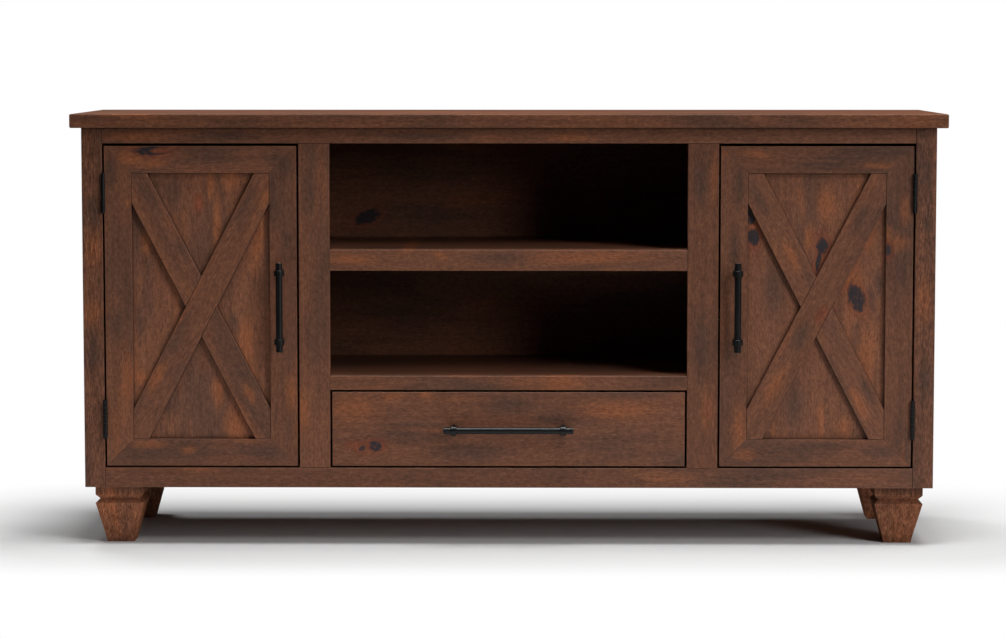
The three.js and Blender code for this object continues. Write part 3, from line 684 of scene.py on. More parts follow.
# %% The marks of the right side
MARKS.update({
    "right_inner_stile": [
        ("cloud", 0.356, 0.682, 0.050, 0.0115, 0),
        ("flame", 0.382, 0.690, 0.038, 0.0055, 0),
        ("cloud", 0.360, 0.376, 0.061, 0.0155, 0),
        ("flame", 0.372, 0.256, 0.034, 0.0115, 0),
    ],
    "right_door_latch_stile": [
        ("cloud", 0.428, 0.676, 0.042, 0.0095, 0),
        ("flame", 0.402, 0.738, 0.010, 0.0075, 0),
        ("cloud", 0.420, 0.556, 0.038, 0.0095, 0),
        ("flame", 0.432, 0.218, 0.038, 0.0115, 0),
    ],
    "right_door_top_rail": [
        ("cloud", 0.582, 0.712, 0.057, 0.0075, 0),
        ("cloud", 0.624, 0.726, 0.065, 0.0055, 0),
        ("flame", 0.460, 0.734, 0.027, 0.0075, -8),
        ("flame", 0.688, 0.712, 0.034, 0.0055, 0),
    ],
    "right_door_hinge_stile": [
        ("knot", 0.705, 0.556, 0.010, 0.005, 0),
        ("flame", 0.706, 0.582, 0.017, 0.0075, 0),
        ("flame", 0.722, 0.570, 0.015, 0.022, 0),
        ("cloud", 0.730, 0.522, 0.046, 0.019, 0),
        ("flame", 0.736, 0.630, 0.027, 0.0095, 0),
    ],
    "right_door_bottom_rail": [
        ("cloud", 0.580, 0.190, 0.061, 0.0055, 0),
        ("cloud", 0.514, 0.166, 0.061, 0.0055, 0),
        ("flame", 0.442, 0.172, 0.019, 0.0095, 0),
        ("cloud", 0.694, 0.178, 0.031, 0.0115, 0),
    ],
    "right_door_panel": [
        ("knot", 0.451, 0.618, 0.015, 0.0085, 0),
        ("flame", 0.456, 0.600, 0.010, 0.0075, 0),
        ("knot", 0.456, 0.579, 0.016, 0.0095, 0),
        ("knot", 0.583, 0.564, 0.016, 0.0105, 0),
        ("knot", 0.577, 0.533, 0.019, 0.0035, -12),
        ("eye", 0.587, 0.542, 0.008, 0.004, 0),
        ("flame", 0.562, 0.578, 0.025, 0.0095, 0),
        ("flame", 0.590, 0.640, 0.031, 0.0155, 0),
        ("knot", 0.646, 0.466, 0.027, 0.0150, 24),
        ("flame", 0.636, 0.504, 0.027, 0.019, 0),
        ("cloud", 0.668, 0.462, 0.023, 0.0095, 0),
        ("flame", 0.666, 0.582, 0.029, 0.0115, 0),
        ("cloud", 0.686, 0.492, 0.023, 0.0095, 0),
        ("cloud", 0.496, 0.480, 0.050, 0.019, 0),
        ("flame", 0.666, 0.358, 0.053, 0.0155, 0),
        ("cloud", 0.536, 0.264, 0.042, 0.019, 0),
        ("flame", 0.584, 0.234, 0.038, 0.0055, 0),
        ("flame", 0.626, 0.222, 0.021, 0.0135, 0),
        ("flame", 0.496, 0.216, 0.013, 0.004, 0),
    ],
    "right_door_upper_brace": [
        ("flame", 0.526, 0.544, 0.027, 0.0095, 0),
        ("cloud", 0.466, 0.648, 0.034, 0.0095, 0),
    ],
    "right_door_long_brace": [
        ("cloud", 0.656, 0.616, 0.027, 0.0115, 0),
        ("eye", 0.582, 0.435, 0.005, 0.004, 0),
        ("cloud", 0.544, 0.392, 0.023, 0.0135, 0),
        ("flame", 0.498, 0.302, 0.038, 0.0115, 0),
    ],
    "right_door_lower_brace": [
        ("cloud", 0.668, 0.294, 0.027, 0.0075, 0),
        ("flame", 0.654, 0.268, 0.031, 0.0095, 0),
    ],
    "right_outer_stile": [
        ("cloud", 0.774, 0.696, 0.034, 0.0135, 0),
        ("cloud", 0.778, 0.604, 0.015, 0.0095, 0),
        ("flame", 0.774, 0.462, 0.038, 0.0115, 0),
        ("cloud", 0.776, 0.314, 0.038, 0.0135, 0),
    ],
})
print("marked boards so far:", len(MARKS))

# %% The marks of the middle
MARKS.update({
    "back_panel": [
        ("knot", -0.284, 0.596, 0.026, 0.0125, 20),
        ("cloud", -0.160, 0.600, 0.076, 0.023, 0),
    ],
    "middle_shelf": [
        ("flame", -0.186, 0.556, 0.015, 0.005, 15),
        ("flame", -0.128, 0.546, 0.013, 0.0055, -20),
        ("cloud", -0.008, 0.540, 0.057, 0.0115, 0),
        ("flame", 0.150, 0.541, 0.100, 0.0120, 0),
        ("flame", -0.294, 0.536, 0.038, 0.0095, 0),
    ],
    "drawer_front": [
        ("flame", -0.218, 0.280, 0.019, 0.0075, 10),
        ("flame", -0.156, 0.284, 0.015, 0.0055, -10),
        ("cloud", 0.000, 0.266, 0.046, 0.017, 0),
        ("cloud", 0.082, 0.238, 0.031, 0.0115, 0),
        ("cloud", -0.180, 0.214, 0.075, 0.0200, 0),
        ("flame", -0.290, 0.258, 0.050, 0.0250, 0),
        ("eye", -0.284, 0.189, 0.009, 0.0035, 0),
        ("knot", -0.274, 0.184, 0.0065, 0.0045, 0),
        ("knot", -0.249, 0.187, 0.0105, 0.0085, 0),
        ("cloud", -0.072, 0.176, 0.069, 0.0155, 0),
        ("flame", 0.200, 0.256, 0.070, 0.0170, 0),
    ],
    "left_front_foot": [("cloud", -0.733, 0.106, 0.012, 0.090, 0)],
    "right_front_foot": [("cloud", 0.733, 0.106, 0.014, 0.090, 0)],
    "top_rail": [
        ("flame", -0.694, 0.766, 0.050, 0.0075, 0),
        ("cloud", -0.526, 0.766, 0.057, 0.0095, 0),
        ("flame", 0.114, 0.764, 0.038, 0.0075, 0),
        ("cloud", -0.164, 0.766, 0.076, 0.0075, 0),
    ],
    "drawer_deck": [
        ("cloud", -0.072, -0.186, 0.065, 0.020, 0),
        ("flame", 0.096, -0.186, 0.038, 0.020, 0),
        ("knot", 0.019, -0.098, 0.011, 0.008, 0),
    ],
    "top_panel": [
        ("knot", -0.520, 0.060, 0.015, 0.010, 0),
        ("knot", 0.260, -0.060, 0.010, 0.008, 0),
        ("knot", 0.655, 0.130, 0.018, 0.010, 0),
        ("flame", -0.150, 0.020, 0.120, 0.030, 0),
        ("cloud", 0.420, 0.080, 0.140, 0.040, 0),
    ],
})
print("marked boards:", len(MARKS), "marks:", sum(len(marks) for marks in MARKS.values()))


# %% [markdown]
# ## Dressing the boards
# The grain of a board follows its length. On the real cabinet that is across for rails, shelves, the
# drawer front, the top, the bottom and the back, upright for stiles, door panels, sides and feet, and
# along the slope for a brace. A brace could be given an angle by hand, but the box of the long brace tells
# the slope of all three. The outer stiles and the feet are of a coarser wood than the rest, and its
# figure is drawn out along the grain. The feet are matt.

# %% Which way the grain runs
HANDS = ("left", "right")
FRONT = -AXES["y"]
COARSE_WOOD = 1.0
FINE_WOOD = 0.3
ACROSS = ["top_rail", "bottom_rail", "middle_shelf", "drawer_front", "bottom_panel", "back_panel"]
ACROSS += [f"{hand}_{part}" for hand in HANDS for part in (
    "inner_shelf", "door_top_rail", "door_bottom_rail",
)]
UPRIGHT = [f"{hand}_{part}" for hand in HANDS for part in (
    "outer_stile", "inner_stile", "front_foot", "back_foot",
    "door_hinge_stile", "door_latch_stile", "door_panel",
)]
SIDEWAYS = [f"{hand}_{part}" for hand in HANDS for part in ("side_panel", "partition")]


def brace_direction(hand, brace):
    """The long brace climbs from the lower left, and the two half braces from the lower right."""
    low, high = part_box(f"{hand}_door_long_brace")
    slope = Vector((high.x - low.x, 0, high.z - low.z)).normalized()
    return slope if brace == "long" else Vector((-slope.x, 0, slope.z))


boards = [(name, AXES["x"], AXES["z"]) for name in ("top_panel", "drawer_deck")]
boards += [(name, AXES["x"], FRONT) for name in ACROSS]
boards += [(name, AXES["z"], FRONT) for name in UPRIGHT]
boards += [(name, AXES["z"], AXES["x"]) for name in SIDEWAYS]
boards += [
    (f"{hand}_door_{brace}_brace", brace_direction(hand, brace), FRONT)
    for hand in HANDS for brace in ("long", "upper", "lower")
]
print("stained boards:", len(boards))

# %% Give each board its finish
SEED_STEP = 1.37
TOP_SHINE = 0.08
FOOT_SHINE = 0
# How strongly a board takes the painted shade in its corners and joints.
OPEN_CORNER_SHADE = 0.8
MITRE_CORNER_SHADE = 0.15
MITRED = ("hinge_stile", "latch_stile", "door_top_rail", "door_bottom_rail")
FOOT_PACE = 0.35
STILE_PACE = 0.7
# A shade lightens or darkens a whole board. The feet are set lighter partly as painted light, for the light
# that the cabinet above keeps off them, and the top a little darker partly to offset the light on it.
SHADES = {
    "left_door_panel": 1.35, "right_door_panel": 1.1, "middle_shelf": 1.05, "bottom_rail": 0.9,
    "left_front_foot": 1.75, "right_front_foot": 1.32, "left_back_foot": 1.7, "right_back_foot": 1.6,
    "left_door_hinge_stile": 1.1, "right_door_hinge_stile": 0.85, "right_inner_stile": 0.85,
    "left_inner_stile": 1.1, "left_door_top_rail": 1.15, "right_door_top_rail": 0.85,
    "right_door_latch_stile": 0.9, "right_door_bottom_rail": 0.9, "right_door_long_brace": 0.9,
    "right_outer_stile": 0.9, "top_panel": 0.92,
    "left_door_upper_brace": 1.15, "left_door_long_brace": 1.1, "left_door_lower_brace": 1.1,
}


def board_values(name):
    """What sets the finish of one board apart."""
    values = {
        "Coarse": FINE_WOOD,
        "Shade": SHADES.get(name, 1),
        "Glazed": MITRE_CORNER_SHADE if name.endswith(MITRED) else OPEN_CORNER_SHADE,
        "shine": TOP_SHINE if name == "top_panel" else WOOD_SHINE,
    }
    if name.endswith("outer_stile"):
        values.update(Coarse=COARSE_WOOD, pace=STILE_PACE)
    if name.endswith("foot"):
        values.update(Coarse=COARSE_WOOD, pace=FOOT_PACE, shine=FOOT_SHINE, Glazed=MITRE_CORNER_SHADE)
    return values


for index, (name, grain, face) in enumerate(boards):
    title = "stained " + name.replace("_", " ")
    marks = MARKS.get(name, ())
    dress(name, board_material(title, grain, face, index * SEED_STEP, marks, **board_values(name)))
print("materials:", len(bpy.data.materials))


# %% [markdown]
# ## The drawer box
# Behind its stained front, a drawer is a plain box of pale wood under clear lacquer, with dovetailed
# corners. It could be stained like the rest, but pale wood is what lets the joints show when the drawer
# is open. The same groups make it, with unstained colours.

# %% The pale wood of the box
PALE = {
    "Stain": screen(196, 158, 114),
    "Thick stain": screen(178, 138, 96),
    "Thin stain": screen(204, 160, 112),
    # The paler edge of the box, partly wear and partly a painted highlight.
    "Worn edge and highlight": screen(206, 174, 132),
    # The colour of the painted shade in the box's corners and joints.
    "Glaze": screen(150, 112, 74),
}
PALE_EDGE = 0.0006
PALE_COARSENESS = 0.2

box_boards = [("drawer_box_front", "x", FRONT), ("drawer_box_back", "x", FRONT)]
box_boards += [("drawer_box_bottom", "x", AXES["z"])]
box_boards += [(f"drawer_box_{hand}_side", "y", AXES["x"]) for hand in HANDS]
for index, (name, grain, face) in enumerate(box_boards, len(boards)):
    title = "pale " + name.replace("_", " ")
    values = {"edge": PALE_EDGE, "Coarse": PALE_COARSENESS, **PALE}
    dress(name, board_material(title, AXES[grain], face, index * SEED_STEP, **values))
print("box boards:", [name for name, _, _ in box_boards])


# %% [markdown]
# ## Black and zinc metal
# The pulls and hinges are black, with the fine skin of sprayed paint. The catches, strike plates and most
# screws are zinc plated steel, and the slides are plated black, which stays dark in the gaps round the
# drawer. Each could be one even gloss, but then a highlight looks cut out. They have a fine unevenness
# instead, so they share one group that puts out a fleck and a height.

# %% Group: metal skin
BROAD_PER_METRE = 22
FINE_SHARE = 0.4


def make_skin_group():
    inputs = {"Vector": ("Vector", (0, 0, 0)), "Grain": ("Float", 900)}
    sheet, given, result = new_group("metal skin", inputs, {"Fleck": "Float", "Height": "Float"})
    fine = sheet.noise(sheet.scale(given["Vector"], given["Grain"]), (1, 1, 1), detail=2)
    broad = sheet.noise(given["Vector"], (BROAD_PER_METRE,) * 3, detail=2)
    put_out(sheet, result, {
        "Fleck": sheet.math("MULTIPLY_ADD", fine, FINE_SHARE, sheet.math("MULTIPLY", broad, 1 - FINE_SHARE)),
        "Height": fine,
    })
    return sheet.tree


skin_group = make_skin_group()
print("metal skin puts out:", output_names(skin_group))


# %% Metal materials
PLATING_GRAIN = 700
PLATING_SHINE = 0.5
PAINT_GRAIN = 1400
PAINT_SHINE = 0.22
SKIN_DEPTH = 0.00003
SKIN_STRENGTH = 0.4
FLECK_SPAN = (0.3, 0.7)
FLECK_LIGHT = (0.8, 1.2)


def metal_material(name, colour, roughness, metallic=1, grain=PLATING_GRAIN, shine=PLATING_SHINE):
    """The roughness has two ends, and the grain is how many flecks go to a metre."""
    material, sheet, shader = new_material(name)
    place = sheet.add("ShaderNodeTexCoord").outputs["Object"]
    skin = sheet.use(skin_group, {"Vector": place, "Grain": grain})
    lit = sheet.scale(colour[:3], sheet.ramp(skin["Fleck"], *FLECK_SPAN, *FLECK_LIGHT))
    uneven = sheet.ramp(skin["Fleck"], *FLECK_SPAN, *roughness)
    bump = {"Height": skin["Height"], "Distance": SKIN_DEPTH, "Strength": SKIN_STRENGTH}
    normal = sheet.add("ShaderNodeBump", bump).outputs[0]
    shader.inputs["Metallic"].default_value = metallic
    shader.inputs["Specular IOR Level"].default_value = shine
    link_shader(sheet, shader, lit, uneven, normal)
    return material


black = metal_material("black metal", screen(11, 11, 12), (0.34, 0.41), 0, PAINT_GRAIN, PAINT_SHINE)
zinc = metal_material("zinc plated steel", screen(132, 134, 138), (0.28, 0.42))
dark_zinc = metal_material("black zinc plated steel", screen(48, 49, 52), (0.3, 0.44))
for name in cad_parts:
    if name.endswith(("pull", "leaf")):
        dress(name, black)
    if name.endswith("catch"):
        dress(name, zinc)
    if name.endswith("member"):
        dress(name, dark_zinc)
print("nodes without a finish:", sorted(set(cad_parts) - dressed))


# %% [markdown]
# ## Screw heads
# Screws hold every hinge, catch, slide and pull. A head is turned and then has a cross pressed into it. A
# disc with a painted cross would do from afar, but the mesh should be true as well, so a head is a profile
# spun round an axis, and a Boolean cuts the cross.

# %% Turned pieces and boxes
TURNED_SIDES = 24


def turned(shares, radius, height):
    """A closed shape round the Z axis. Its profile is in shares of the radius and height, axis to axis."""
    shape = bmesh.new()
    turns = [2 * math.pi * step / TURNED_SIDES for step in range(TURNED_SIDES)]
    rings = []
    for share, level in shares:
        out, up = radius * share, height * level
        spots = [(out * math.cos(turn), out * math.sin(turn), up) for turn in turns]
        rings.append([shape.verts.new(spot) for spot in (spots if share else spots[:1])])
    for low, high in zip(rings, rings[1:]):
        for step in range(TURNED_SIDES):
            after = (step + 1) % TURNED_SIDES
            corners = [low[step % len(low)], low[after % len(low)], high[after % len(high)]]
            corners.append(high[step % len(high)])
            shape.faces.new(list(dict.fromkeys(corners)))
    bmesh.ops.recalc_face_normals(shape, faces=shape.faces)
    return shape


def box_shape(low, high, ease=0):
    """A box between two corners, with eased edges if asked."""
    shape = bmesh.new()
    bmesh.ops.create_cube(shape, size=1)
    bmesh.ops.scale(shape, vec=high - low, verts=shape.verts)
    bmesh.ops.translate(shape, vec=(low + high) / 2, verts=shape.verts)
    if ease:
        bmesh.ops.bevel(shape, geom=shape.edges[:], offset=ease, segments=2, affect="EDGES", profile=0.5)
    return shape


def to_mesh(shape, name):
    mesh = bpy.data.meshes.new(name)
    shape.to_mesh(mesh)
    shape.free()
    return mesh


print("sides of a turned piece:", TURNED_SIDES)


# %% A head with a cross cut into it
CROSS_RADIUS_SHARE = 0.6
CROSS_WIDTH_SHARE = 0.2
PAN_SHARES = ((0, 0), (1, 0), (1, 0.4), (0.86, 0.8), (0.6, 1), (0, 1))
PAN_CROSS_SHARE = 0.6
FLUSH_SHARES = ((0, 0), (1, 0), (0.97, 1), (0, 1))
FLUSH_CROSS_SHARE = 0.7


def cross_cut(head, radius, height, depth):
    """Cuts a cross into the top of a head that is this high."""
    reach = radius * CROSS_RADIUS_SHARE
    half = radius * CROSS_WIDTH_SHARE
    shapes = [head]
    for along, across in ((reach, half), (half, reach)):
        low = Vector((-along, -across, height - depth))
        shapes.append(box_shape(low, Vector((along, across, height + depth))))
    solids = [bpy.data.objects.new("tool", to_mesh(shape, "tool")) for shape in shapes]
    for solid in solids:
        bpy.context.scene.collection.objects.link(solid)
    for blade in solids[1:]:
        cut = solids[0].modifiers.new("cross", "BOOLEAN")
        cut.operation = "DIFFERENCE"
        cut.object = blade
    graph = bpy.context.evaluated_depsgraph_get()
    mesh = bpy.data.meshes.new_from_object(solids[0].evaluated_get(graph))
    for solid in solids:
        bpy.data.objects.remove(solid)
    return mesh


def pan_head(radius, height):
    return cross_cut(turned(PAN_SHARES, radius, height), radius, height, height * PAN_CROSS_SHARE)


def flush_head(radius, height):
    return cross_cut(turned(FLUSH_SHARES, radius, height), radius, height, height * FLUSH_CROSS_SHARE)


SMALL_PAN = pan_head(0.0028, 0.0013)
LARGE_PAN = pan_head(0.0042, 0.0018)
HINGE_HEAD = flush_head(0.003, 0.0001)
WEB_HEAD = flush_head(0.0035, 0.0004)
print("faces of a head:", len(SMALL_PAN.polygons))


# %% [markdown]
# ## Many copies as one piece
# Each screw could be an object of its own, but a hundred objects are hard to keep in order. Copies of a
# head are joined into one mesh for each thing that they hold, and that mesh rides on the thing's body.

# %% Join copies into a piece
def add_piece(name, mesh, material, body):
    mesh.materials.clear()
    mesh.materials.append(material)
    piece = bpy.data.objects.new(name, mesh)
    bpy.context.scene.collection.objects.link(piece)
    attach(piece, body)
    return piece


def join_copies(name, template, places, direction, material, body):
    """Puts a copy of the template at each place, with its Z axis along the direction."""
    turn = direction.to_track_quat("Z", "Y").to_matrix().to_4x4()
    shape = bmesh.new()
    for place in places:
        copy = template.copy()
        copy.transform(Matrix.Translation(place) @ turn)
        shape.from_mesh(copy)
        bpy.data.meshes.remove(copy)
    return add_piece(name, to_mesh(shape, name), material, body)


def outward(hand):
    return -1 if hand == "left" else 1


print("outward is", outward("left"), "on the left and", outward("right"), "on the right")


# %% [markdown]
# ## Hinge screws
# Three countersunk screws hold each leaf. Domed heads would be easier to see, but the two leaves of a
# closed hinge are only a third of a millimetre apart, so these stand a tenth of a millimetre proud.

# %% Screws in the hinge leaves
LEAF_SCREWS = 3
LEAF_FACE_OFFSET = 0.00015


def leaf_screws(hand, level, part):
    leaf = f"{hand}_{level}_hinge_{part}_leaf"
    low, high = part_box(leaf)
    wood_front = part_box(f"{hand}_outer_stile")[0].y
    side = outward(hand) if part == "frame" else -outward(hand)
    face_x = (low.x + high.x) / 2 + side * LEAF_FACE_OFFSET
    pitch = (high.z - low.z) / LEAF_SCREWS
    middle_y = (wood_front + high.y) / 2
    places = [Vector((face_x, middle_y, low.z + (step + 0.5) * pitch)) for step in range(LEAF_SCREWS)]
    body = "case" if part == "frame" else f"{hand}_door"
    join_copies(leaf + "_screws", HINGE_HEAD, places, Vector((-side, 0, 0)), black, body)
    return len(places)


print("hinge screws:", sum(
    leaf_screws(hand, level, part)
    for hand in HANDS for level in ("lower", "upper") for part in ("frame", "door")))


# %% [markdown]
# ## Catches and strike plates
# A magnet in each catch holds the door shut. It pulls on a small steel plate, screwed to the back of the
# door, through two thin poles at its front. A painted patch would not do, because the plate shows as soon
# as a door opens. Real poles reach out of the catch and stop just short of the plate. These are turned
# half round by the turn that join_copies gives a copy, so they stand 0.9 mm inside the plate of a closed
# door and end 0.2 mm short of their catch.

# %% Strike plates and poles
CATCH_HEAD_WIDTH = 0.022
STRIKE = Vector((0.018, 0.0012, 0.034))
STRIKE_EASE = 0.0003
STRIKE_SCREW_SHARE = 0.32
POLE = Vector((0.0016, 0.0010, 0.011))
POLE_SPACING = 0.008
POLE_BACK = 0.0001


def strike_and_poles(hand):
    low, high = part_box(f"{hand}_door_catch")
    door_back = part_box(f"{hand}_door_latch_stile")[1].y
    head_end = low.x if hand == "left" else high.x
    middle_x = head_end - outward(hand) * CATCH_HEAD_WIDTH / 2
    middle_z = (low.z + high.z) / 2
    corner = Vector((middle_x - STRIKE.x / 2, door_back, middle_z - STRIKE.z / 2))
    plate = to_mesh(box_shape(corner, corner + STRIKE, STRIKE_EASE), "strike plate")
    add_piece(f"{hand}_strike_plate", plate, zinc, f"{hand}_door")
    front = Vector((middle_x, door_back + STRIKE.y, middle_z))
    ends = [front + AXES["z"] * STRIKE.z * STRIKE_SCREW_SHARE * way for way in (-1, 1)]
    join_copies(f"{hand}_strike_screws", SMALL_PAN, ends, AXES["y"], zinc, f"{hand}_door")
    half = Vector((POLE.x / 2, 0, POLE.z / 2))
    pole = to_mesh(box_shape(-half, half + AXES["y"] * POLE.y), "pole")
    spots = [front + Vector((POLE_SPACING * way / 2, POLE_BACK, 0)) for way in (-1, 1)]
    join_copies(f"{hand}_catch_poles", pole, spots, AXES["z"], zinc, "case")


for hand in HANDS:
    strike_and_poles(hand)
print("strike plates are", STRIKE.z * 1000, "mm high")


# %% [markdown]
# ## The rest of the screws
# The pulls are screwed from behind, the catches and slides through their plates, and the back panel all
# round its edge. They could be scattered by eye, but each row is worked out from the box of what it holds,
# so that a screw sits on its plate and never beside it.

# %% Screws of the pulls
DOOR_PULL_SPACING = 0.128
DRAWER_PULL_SPACING = 0.204


def pull_screws(name, pull, board, spacing, axis, body):
    """Two screws behind a pull, on the back of the board, this far apart along the axis."""
    low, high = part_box(pull)
    middle = (low + high) / 2
    middle.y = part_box(board)[1].y
    ends = [middle + axis * spacing * way / 2 for way in (-1, 1)]
    join_copies(name, LARGE_PAN, ends, AXES["y"], zinc, body)


for hand in HANDS:
    pull_screws(f"{hand}_pull_screws", f"{hand}_door_pull", f"{hand}_door_latch_stile",
                DOOR_PULL_SPACING, AXES["z"], f"{hand}_door")
pull_screws("drawer_pull_screws", "drawer_pull", "drawer_box_front", DRAWER_PULL_SPACING, AXES["x"], "drawer")
print("pull screws:", 2 * len(HANDS) + 2)

# %% Screws of the catches
CATCH_HEAD_DEPTH = 0.013
CATCH_FLANGE_THICKNESS = 0.002
CATCH_SCREW_SHARES = (0.3, 0.75)

for hand in HANDS:
    low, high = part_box(f"{hand}_door_catch")
    side = outward(hand)
    plate_x = (high if hand == "left" else low).x + side * CATCH_FLANGE_THICKNESS
    bare = low.y + CATCH_HEAD_DEPTH
    spots = [
        Vector((plate_x, bare + (high.y - bare) * share, (low.z + high.z) / 2))
        for share in CATCH_SCREW_SHARES
    ]
    screws = Vector((side, 0, 0))
    join_copies(f"{hand}_catch_screws", SMALL_PAN, spots, screws, zinc, "case")
print("catch screws:", len(CATCH_SCREW_SHARES) * len(HANDS))

# %% Screws of the slides
SLIDE_SCREW_SHARES = (0.1, 0.5, 0.9)
SLIDE_PLATE = 0.0015


def slide_screws(hand, member, body):
    low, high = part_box(f"{hand}_slide_{member}_member")
    case_side = member == "case"
    side = -outward(hand) if case_side else outward(hand)
    web = (low if side > 0 else high).x
    spots = [
        Vector((web + side * SLIDE_PLATE, low.y + (high.y - low.y) * share, (low.z + high.z) / 2))
        for share in SLIDE_SCREW_SHARES
    ]
    name = f"{hand}_slide_{member}_screws"
    join_copies(name, WEB_HEAD, spots, Vector((side, 0, 0)), zinc, body)


for hand in HANDS:
    slide_screws(hand, "case", "case")
    slide_screws(hand, "drawer", "drawer")
print("slide screws:", 2 * len(HANDS) * len(SLIDE_SCREW_SHARES))

# %% Screws round the back panel
BACK_SCREW_INSET = 0.008
BACK_SCREW_COLUMN = sum(corner.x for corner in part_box("right_partition")) / 2
BACK_SCREW_LEVELS = 5
BACK_SCREW_ROW = 7

low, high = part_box("back_panel")
edge_x = high.x - BACK_SCREW_INSET
levels = [low.z + BACK_SCREW_INSET + (high.z - low.z - 2 * BACK_SCREW_INSET) * step / (BACK_SCREW_LEVELS - 1)
          for step in range(BACK_SCREW_LEVELS)]
across = [edge_x * (2 * step / (BACK_SCREW_ROW - 1) - 1) for step in range(BACK_SCREW_ROW)]
spots = {(x, z) for x in (-edge_x, -BACK_SCREW_COLUMN, BACK_SCREW_COLUMN, edge_x) for z in levels}
spots |= {(x, z) for x in across for z in (levels[0], levels[-1])}
shelf_boxes = [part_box(name) for name in ("middle_shelf", "drawer_deck")]
spots |= {(0, (shelf[0].z + shelf[1].z) / 2) for shelf in shelf_boxes}
places = [Vector((x, high.y, z)) for x, z in sorted(spots)]
join_copies("back_panel_screws", SMALL_PAN, places, AXES["y"], zinc, "case")
print("back panel screws:", len(places))


# %% [markdown]
# ## Sleeves on the shelf pins
# Each inner shelf lies on four pins, and on a real one they are plated. The pins of the frame are part of
# the panels that they stand in, so recolouring them would recolour the wood. A thin sleeve slips over each
# pin instead, and stays just clear of the shelf above it.

# %% Four sleeves for each shelf
PIN_RADIUS = 0.0025
PIN_REACH = 0.008
PIN_ROW_INSET = 0.045
PIN_CLEARANCE = 0.0003
SLEEVE_WALL = 0.00015
SLEEVE_SHARES = ((0, 0), (1, 0), (1, 0.94), (0.85, 1), (0, 1))


def pin_sleeves(hand):
    shelf_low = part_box(f"{hand}_inner_shelf")[0]
    pin_z = shelf_low.z - PIN_CLEARANCE - PIN_RADIUS
    rows = (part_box(f"{hand}_outer_stile")[1].y + PIN_ROW_INSET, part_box("back_panel")[0].y - PIN_ROW_INSET)
    sleeve = to_mesh(turned(SLEEVE_SHARES, PIN_RADIUS + SLEEVE_WALL, PIN_REACH + SLEEVE_WALL), "sleeve")
    panels = (f"{hand}_side_panel", -outward(hand)), (f"{hand}_partition", outward(hand))
    for panel, side in panels:
        low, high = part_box(panel)
        tip = (high if side > 0 else low).x
        places = [Vector((tip - side * PIN_REACH, y, pin_z)) for y in rows]
        join_copies(f"{panel}_pin_sleeves", sleeve, places, Vector((side, 0, 0)), zinc, "case")


for hand in HANDS:
    pin_sleeves(hand)


# %% [markdown]
# ## The studio
# The cabinet stands on a pale floor in front of a white room. A curved backdrop with many lamps on it
# could do that, but the light that it threw back would wash out the dark stain. Here the world is plainly
# white to the camera, and the floor turns to that white with the distance from the outline of the top,
# sooner in front than behind. Mirror rays are shown a part of the white behind the cabinet, and the wood
# gets only the light that falls on the floor near its feet. In front of the cabinet the room is dark, as
# behind a photographer, so the black pulls stay black.

# %% Rays that look at the room
ROOM_MIRRORED = 0.05


def shown_white(sheet, behind):
    """How much of the white room a ray is shown: all to the camera, a part of the back to a mirror."""
    path = sheet.add("ShaderNodeLightPath").outputs
    mirrored = sheet.math("MULTIPLY", path["Is Glossy Ray"], sheet.math("MULTIPLY", behind, ROOM_MIRRORED))
    return greatest(sheet, (path["Is Camera Ray"], path["Is Transmission Ray"], mirrored))


print("share of the white room in a mirror:", ROOM_MIRRORED)


# %% Floor material
FLOOR_SEEN = 0.52
FLOOR_NEAR = 0.7
FLOOR_FAR = 0.06
NEAR_FLOOR_ENDS = 0.8
FAR_FLOOR_STARTS = 1.8
WHITE_BEHIND = 0.45
WHITE_BEND = 0.7
WHITE_IN_FRONT = (0.1, 0.34)
SIDEWAYS_SHARE = 0.5
MIRROR_FADE = 1


def floor_whiteness(sheet, place, depth):
    """Grows outside the outline of the top, along one curve in front and another behind."""
    low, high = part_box("top_panel")
    half = ((high.x - low.x) / 2, (high.y - low.y) / 2, 0)
    outside = sheet.vector("SUBTRACT", sheet.vector("ABSOLUTE", place), half)
    distance = sheet.measure("LENGTH", sheet.vector("MAXIMUM", outside, (0, 0, 0)))
    in_front = sheet.ramp(distance, *WHITE_IN_FRONT)
    share = sheet.math("MINIMUM", sheet.math("DIVIDE", distance, WHITE_BEHIND), 1)
    lead = sheet.math("SUBTRACT", sheet.math("POWER", share, WHITE_BEND), in_front)
    return sheet.math("MULTIPLY_ADD", sheet.ramp(depth, -half[1], half[1]), lead, in_front)


def floor_shade(sheet, place):
    """One grey to the camera. For other rays the floor is pale near the cabinet and dark far away."""
    beside = sheet.measure("LENGTH", sheet.vector("MULTIPLY", place, (SIDEWAYS_SHARE, 1, 1)))
    lit = sheet.ramp(beside, NEAR_FLOOR_ENDS, FAR_FLOOR_STARTS, FLOOR_NEAR, FLOOR_FAR)
    albedo = sheet.add("ShaderNodeCombineXYZ", {"X": lit, "Y": lit, "Z": lit}).outputs[0]
    camera_ray = sheet.add("ShaderNodeLightPath").outputs["Is Camera Ray"]
    return sheet.mix(camera_ray, albedo, (FLOOR_SEEN,) * 3 + (1,))


def make_floor_material():
    material, sheet, shader = new_material("pale floor")
    sheet.tree.nodes.remove(shader)
    place = sheet.add("ShaderNodeTexCoord").outputs["Object"]
    depth = sheet.add("ShaderNodeSeparateXYZ", {0: place}).outputs["Y"]
    surface = sheet.add("ShaderNodeBsdfDiffuse", {"Color": floor_shade(sheet, place)}).outputs[0]
    glow = sheet.add("ShaderNodeEmission", {"Color": (1, 1, 1, 1), "Strength": 1}).outputs[0]
    shown = shown_white(sheet, sheet.ramp(depth, 0, MIRROR_FADE))
    factor = sheet.math("MULTIPLY", floor_whiteness(sheet, place, depth), shown)
    mixed = sheet.add("ShaderNodeMixShader", {0: factor, 1: surface, 2: glow}).outputs[0]
    sheet.tree.links.new(mixed, sheet.tree.nodes["Material Output"].inputs["Surface"])
    return material


